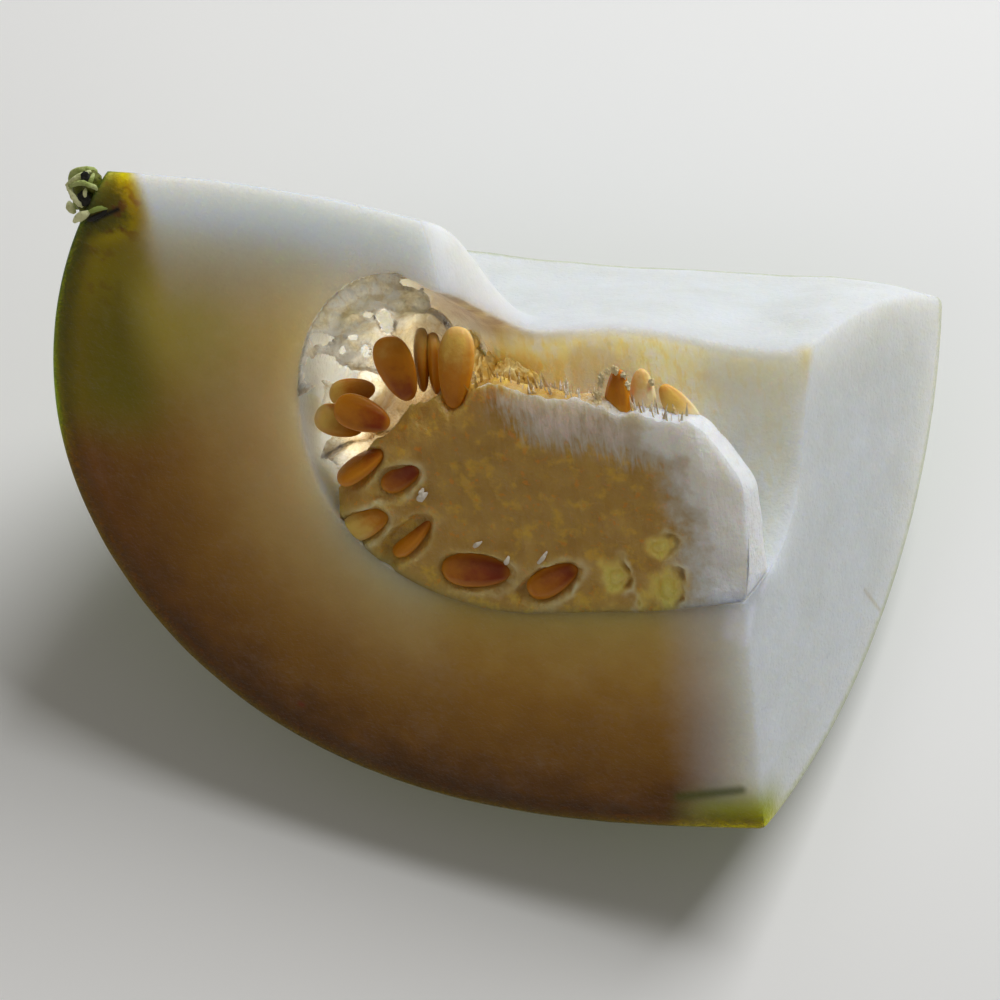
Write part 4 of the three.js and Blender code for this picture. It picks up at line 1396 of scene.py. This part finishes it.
def stemFinish():
    f = Finish("stemFinish")
    look = stemLook
    tag = f.attribute("strip")
    streak = f.noise(0.6, 4, 0.6)
    knot = f.blend(streak.step(0.2, 0.55), look["dark"], look["olive"])
    strip = f.blend((tag + (f.noise(1.3, 3) - 0.5) * 0.6).step(0.3, 1.0), look["green"], look["cream"])
    strip = f.blend(f.noise(0.9, 3).step(0.6, 0.75) * 0.4, strip, look["olive"])
    colour = f.blend(tag.step(0.05, 0.2), knot, strip)
    # near black below 0: painted shade standing for the holes and a slit
    colour = f.blend(tag.step(-0.05, -0.15), colour, look["dark"])
    return f.surface(baseColor=colour, roughness=0.6, normal=f.bump(streak + f.noise(1.4, 2), 0.3))


def buildStem(finish):
    # uneven balls for the knot, near-black balls of painted shade for its holes, and flat strips curled
    # over them
    look = stemLook
    bodies = []
    for centre, size in look["knots"]:
        bodies.append((blob(centre, size, 0.2, 2), 0.0))
    for centre, size in look["hollows"]:
        bodies.append((blob(centre, (size, 0.5, size * 1.2), 0.4, 5), -0.2))
    for points, size, pale in look["strips"]:
        path = smoothPath(points, 30)
        share = np.linspace(0, 1, 30)
        taper = np.clip(np.sin(math.pi * (0.08 + 0.84 * share)) ** 0.6, 0.25, 1) * size
        grid = tube(path, taper, taper * 0.55, 16, (0.1, -1, 0.1))
        grid = grid + 0.14 * layered(grid, 0.9, 7)[..., None]
        bodies.append((grid, pale))
    points, quads, fans, tags = joined(bodies)
    return meshPiece("stemStub", points, quads, fans, {"strip": tags}, finish, ["stem"])


# Fibres standing up from the core's torn top, with bright flaps beside some seeds that are painted
# highlights, standing for glints

fibreLook = {
    "wisps": 120,
    "left": -42,
    "right": -7,
    "seed": 5,
    "crumbTag": 0.25,
    # crumbs round two seeds: x, y, z and size; glint flaps, painted highlights: points along the flap and
    # its half width
    "crumbs": [
        (-20.0, 1.9, 7.0, 0.42),
        (-19.6, 1.8, 8.1, 0.5),
        (-18.6, 2.1, 8.9, 0.45),
        (-17.4, 2.4, 9.0, 0.5),
        (-20.5, 1.6, 5.4, 0.5),
        (-20.6, 1.5, 3.9, 0.6),
        (-16.2, 2.6, 8.0, 0.4),
        (-15.9, 2.6, 6.2, 0.45),
        (-12.3, 3.6, 6.2, 0.42),
        (-12.8, 2.6, 1.8, 0.6),
        (-13.8, 2.4, 0.4, 0.7),
    ],
    "glintFlaps": [
        ([(-53.0, 0.5, -12.3), (-52.2, -0.1, -11.4), (-51.0, 0.2, -10.6)], 0.6),
        ([(-52.6, 0.5, -11.3), (-52.0, 0.0, -10.5), (-51.7, 0.4, -9.9)], 0.4),
        ([(-45.2, 0.6, -21.2), (-44.3, -0.1, -20.2), (-43.3, 0.3, -19.7)], 0.4),
        ([(-40.3, 0.6, -24.3), (-39.7, -0.1, -23.4), (-39.2, 0.3, -22.4)], 0.4),
        ([(-35.2, 0.6, -24.6), (-33.6, -0.1, -22.9), (-32.6, 0.3, -21.6)], 0.36),
    ],
}


def buildFibres(finish):
    # each wisp starts inside the core, comes out over its front or its top and ends in a thin point
    look = fibreLook
    random = np.random.default_rng(look["seed"])
    bodies = []
    for _ in range(look["wisps"]):
        x = look["left"] + (look["right"] - look["left"]) * random.beta(1.5, 1.3)
        level = coreTop(x)
        top = level + random.uniform(0.2, 2.6)
        low = level - random.uniform(0.5, 2.0)
        y = random.uniform(0.5, 4.5)
        drift = random.normal(0, 0.7)
        path = smoothPath(
            [
                (x, y + 1.2, low - 0.8),
                (x + 0.2 * drift, y + 0.3, low + 0.2),
                (x + 0.6 * drift, y + random.uniform(-0.1, 0.2), (low + top) / 2),
                (x + drift, y + random.uniform(0.0, 0.9), top),
            ],
            12,
        )
        size = np.sin(math.pi * np.linspace(0.1, 0.97, 12)) * random.uniform(0.14, 0.3)
        grid = tube(path, size, size * 0.45, 6, (random.normal(0, 0.4), -1, 0))
        bodies.append((grid, random.uniform(0.3, 0.8) * ease(-46, -24, x)))
    # bright flaps standing for glints: painted highlights
    for points, size in look["glintFlaps"]:
        path = smoothPath(points, 16)
        taper = np.clip(np.sin(math.pi * np.linspace(0.08, 0.92, 16)), 0.15, 1) * size
        grid = tube(path, taper, taper * 0.4, 12, (0.2, -1, 0.2))
        bodies.append((grid + 0.2 * layered(grid, 0.8, 9)[..., None], 1.0))
    for number, (x, y, z, size) in enumerate(look["crumbs"]):
        crumb = blob((x, y, z), (size, size * 0.7, size * 1.3), 0.9, number + 40)
        bodies.append((crumb, look["crumbTag"]))
    points, quads, fans, tags = joined(bodies)
    values = {key: 0 * tags for key in ("pale", "pit", "dark")}
    values["fuzz"] = tags
    values["rim"] = (tags == 1.0) * 0.4 + (tags == look["crumbTag"]) * 0.9
    return meshPiece("coreFibres", points, quads, fans, values, finish)


# Pulp: yellow clumps on the far wall beside the seed

pulpLook = {
    # centre and half sizes
    "clumps": [
        ((-48.3, 25.2, 4.0), (1.5, 0.9, 1.9)),
        ((-47.6, 25.0, 1.6), (1.4, 0.8, 2.2)),
        ((-46.8, 24.4, -1.1), (1.6, 0.9, 2.4)),
        ((-44.7, 22.9, 1.4), (1.2, 0.7, 1.6)),
        ((-44.7, 22.8, -1.5), (1.7, 0.9, 2.2)),
        ((-42.7, 22.3, 0.1), (1.5, 0.8, 1.9)),
        ((-41.3, 22.3, -1.0), (1.9, 0.9, 2.4)),
        ((-39.8, 22.3, 0.0), (1.3, 0.7, 1.7)),
        ((-39.8, 22.2, -2.5), (1.8, 0.9, 1.9)),
        ((-38.0, 22.3, -1.7), (1.4, 0.7, 2.0)),
        ((-43.1, 22.1, -3.4), (1.8, 1.0, 1.8)),
        ((-36.4, 22.1, -3.1), (1.5, 0.8, 1.6)),
    ],
    "yellow": srgb(226, 190, 92),
    "pale": srgb(238, 220, 156),
}


def pulpFinish():
    f = Finish("pulpFinish")
    look = pulpLook
    colour = f.blend(f.noise(1.6, 4, 0.6).step(0.35, 0.65), look["yellow"], look["pale"])
    return f.surface(
        baseColor=colour,
        roughness=0.35,
        specularIorLevel=0.4,
        normal=f.bump(f.noise(0.8, 3), 0.25),
    )


def buildPulp(finish):  # uneven balls, each drawn out upwards
    look = pulpLook
    clumps = enumerate(look["clumps"])
    bodies = [(blob(centre, size, 0.85, number + 23, 0.4), 0.0) for number, (centre, size) in clumps]
    points, quads, fans, _ = joined(bodies)
    return meshPiece("yellowPulp", points, quads, fans, {}, finish)


print("seeds")
buildSeeds()
print("core")
buildCore(coreFinish("coreFinish", coreLook["softness"]))
buildFibres(coreFinish("fibreFinish", 0.0))
print("curtain, pulp and stem")
buildPulp(pulpFinish())
buildCurtain(curtainFinish())
buildStem(stemFinish())
print("flesh")
buildFlesh()


# Camera at the photograph's angle

view = {
    "turn": (2.04, 0.172, -0.326),
    "shift": (35.25, -11.325, 461.25),
    "focal": 2994.8,
    "photoWidth": 1000,
    "sensor": 36,
}


def addCamera():
    # the fitted turn maps the gourd's frame to right, down and ahead
    axis = np.array(view["turn"])
    angle = np.linalg.norm(axis)
    kx, ky, kz = axis / angle
    cross = np.array([[0, -kz, ky], [kz, 0, -kx], [-ky, kx, 0]])
    seen = np.eye(3) + math.sin(angle) * cross + (1 - math.cos(angle)) * cross @ cross
    eye = -seen.T @ np.array(view["shift"])
    right, downward, forward = (restTurn() @ row for row in seen)
    camera = bpy.data.objects.new("camera", bpy.data.cameras.new("camera"))
    camera.data.sensor_width = view["sensor"]
    camera.data.lens = view["focal"] * view["sensor"] / view["photoWidth"]
    camera.data.clip_start = 0.01
    place = Matrix.Identity(4)
    place.col[0][:3], place.col[1][:3], place.col[2][:3] = right, -downward, -forward
    place.col[3][:3] = toRow(eye)
    camera.matrix_world = place
    bpy.context.scene.collection.objects.link(camera)
    bpy.context.scene.camera = camera


stageLook = {
    "floorSize": 6.0,
    "skyColour": (1.0, 0.985, 0.96, 1),
    "skyPower": 0.14,
    # soft lamps: name, direction, distance, size, power and colour
    "lamps": [
        ("keyLight", (0.33, 0.58, 0.74), 1.0, 0.5, 8.4, (0.98, 0.99, 1.0)),
        ("fillLight", (-0.5, -0.7, 0.6), 1.2, 0.9, 1.2, (1.0, 0.82, 0.56)),
    ],
    # daylight that comes through the thin flesh into the hollow: place and power
    "hollowLights": [
        ((-60.0, 15.0, 6.0), 0.0023),
        ((-64.5, 9.5, -5.0), 0.0013),
        ((-55.5, 11.5, 17.5), 0.0010),
    ],
    "hollowColour": (1.0, 0.96, 0.86),
    "hollowSize": 0.004,
}


def addLamp(name, kind, power, colour, place):
    lamp = bpy.data.lights.new(name, kind)
    lamp.energy, lamp.color = power, colour
    stand = bpy.data.objects.new(name, lamp)
    stand.location = place
    bpy.context.scene.collection.objects.link(stand)
    return lamp, stand


def addStage():
    look = stageLook
    f = Finish("paleFloor")
    tint = f.blend(f.noise(400, 2) * 0.2, srgb(245, 245, 244), srgb(238, 238, 237))
    size = look["floorSize"]
    corners = [(-size, -size, 0), (size, -size, 0), (size, size, 0), (-size, size, 0)]
    mesh = bpy.data.meshes.new("floor")
    mesh.from_pydata(corners, [], [(0, 1, 2, 3)])
    mesh.materials.append(f.surface(baseColor=tint, roughness=0.8))
    floor = bpy.data.objects.new("floor", mesh)
    bpy.context.scene.collection.objects.link(floor)

    world = bpy.data.worlds.new("studio")
    world.use_nodes = True
    world.node_tree.nodes["Background"].inputs["Color"].default_value = look["skyColour"]
    world.node_tree.nodes["Background"].inputs["Strength"].default_value = look["skyPower"]
    bpy.context.scene.world = world
    for name, toward, far, size, power, colour in look["lamps"]:
        spot = Vector(toward).normalized() * far
        lamp, stand = addLamp(name, "AREA", power, colour, spot)
        lamp.size = size
        stand.rotation_euler = (-spot).to_track_quat("-Z", "Y").to_euler()
    for number, (spot, power) in enumerate(look["hollowLights"], 1):
        place = toRow(np.array(spot))
        lamp, stand = addLamp("hollowLight" + str(number), "POINT", power, look["hollowColour"], place)
        lamp.shadow_soft_size = look["hollowSize"]
        stand.visible_camera = False


print("stage")
addCamera()
addStage()
bpy.context.scene.view_settings.view_transform = "Standard"
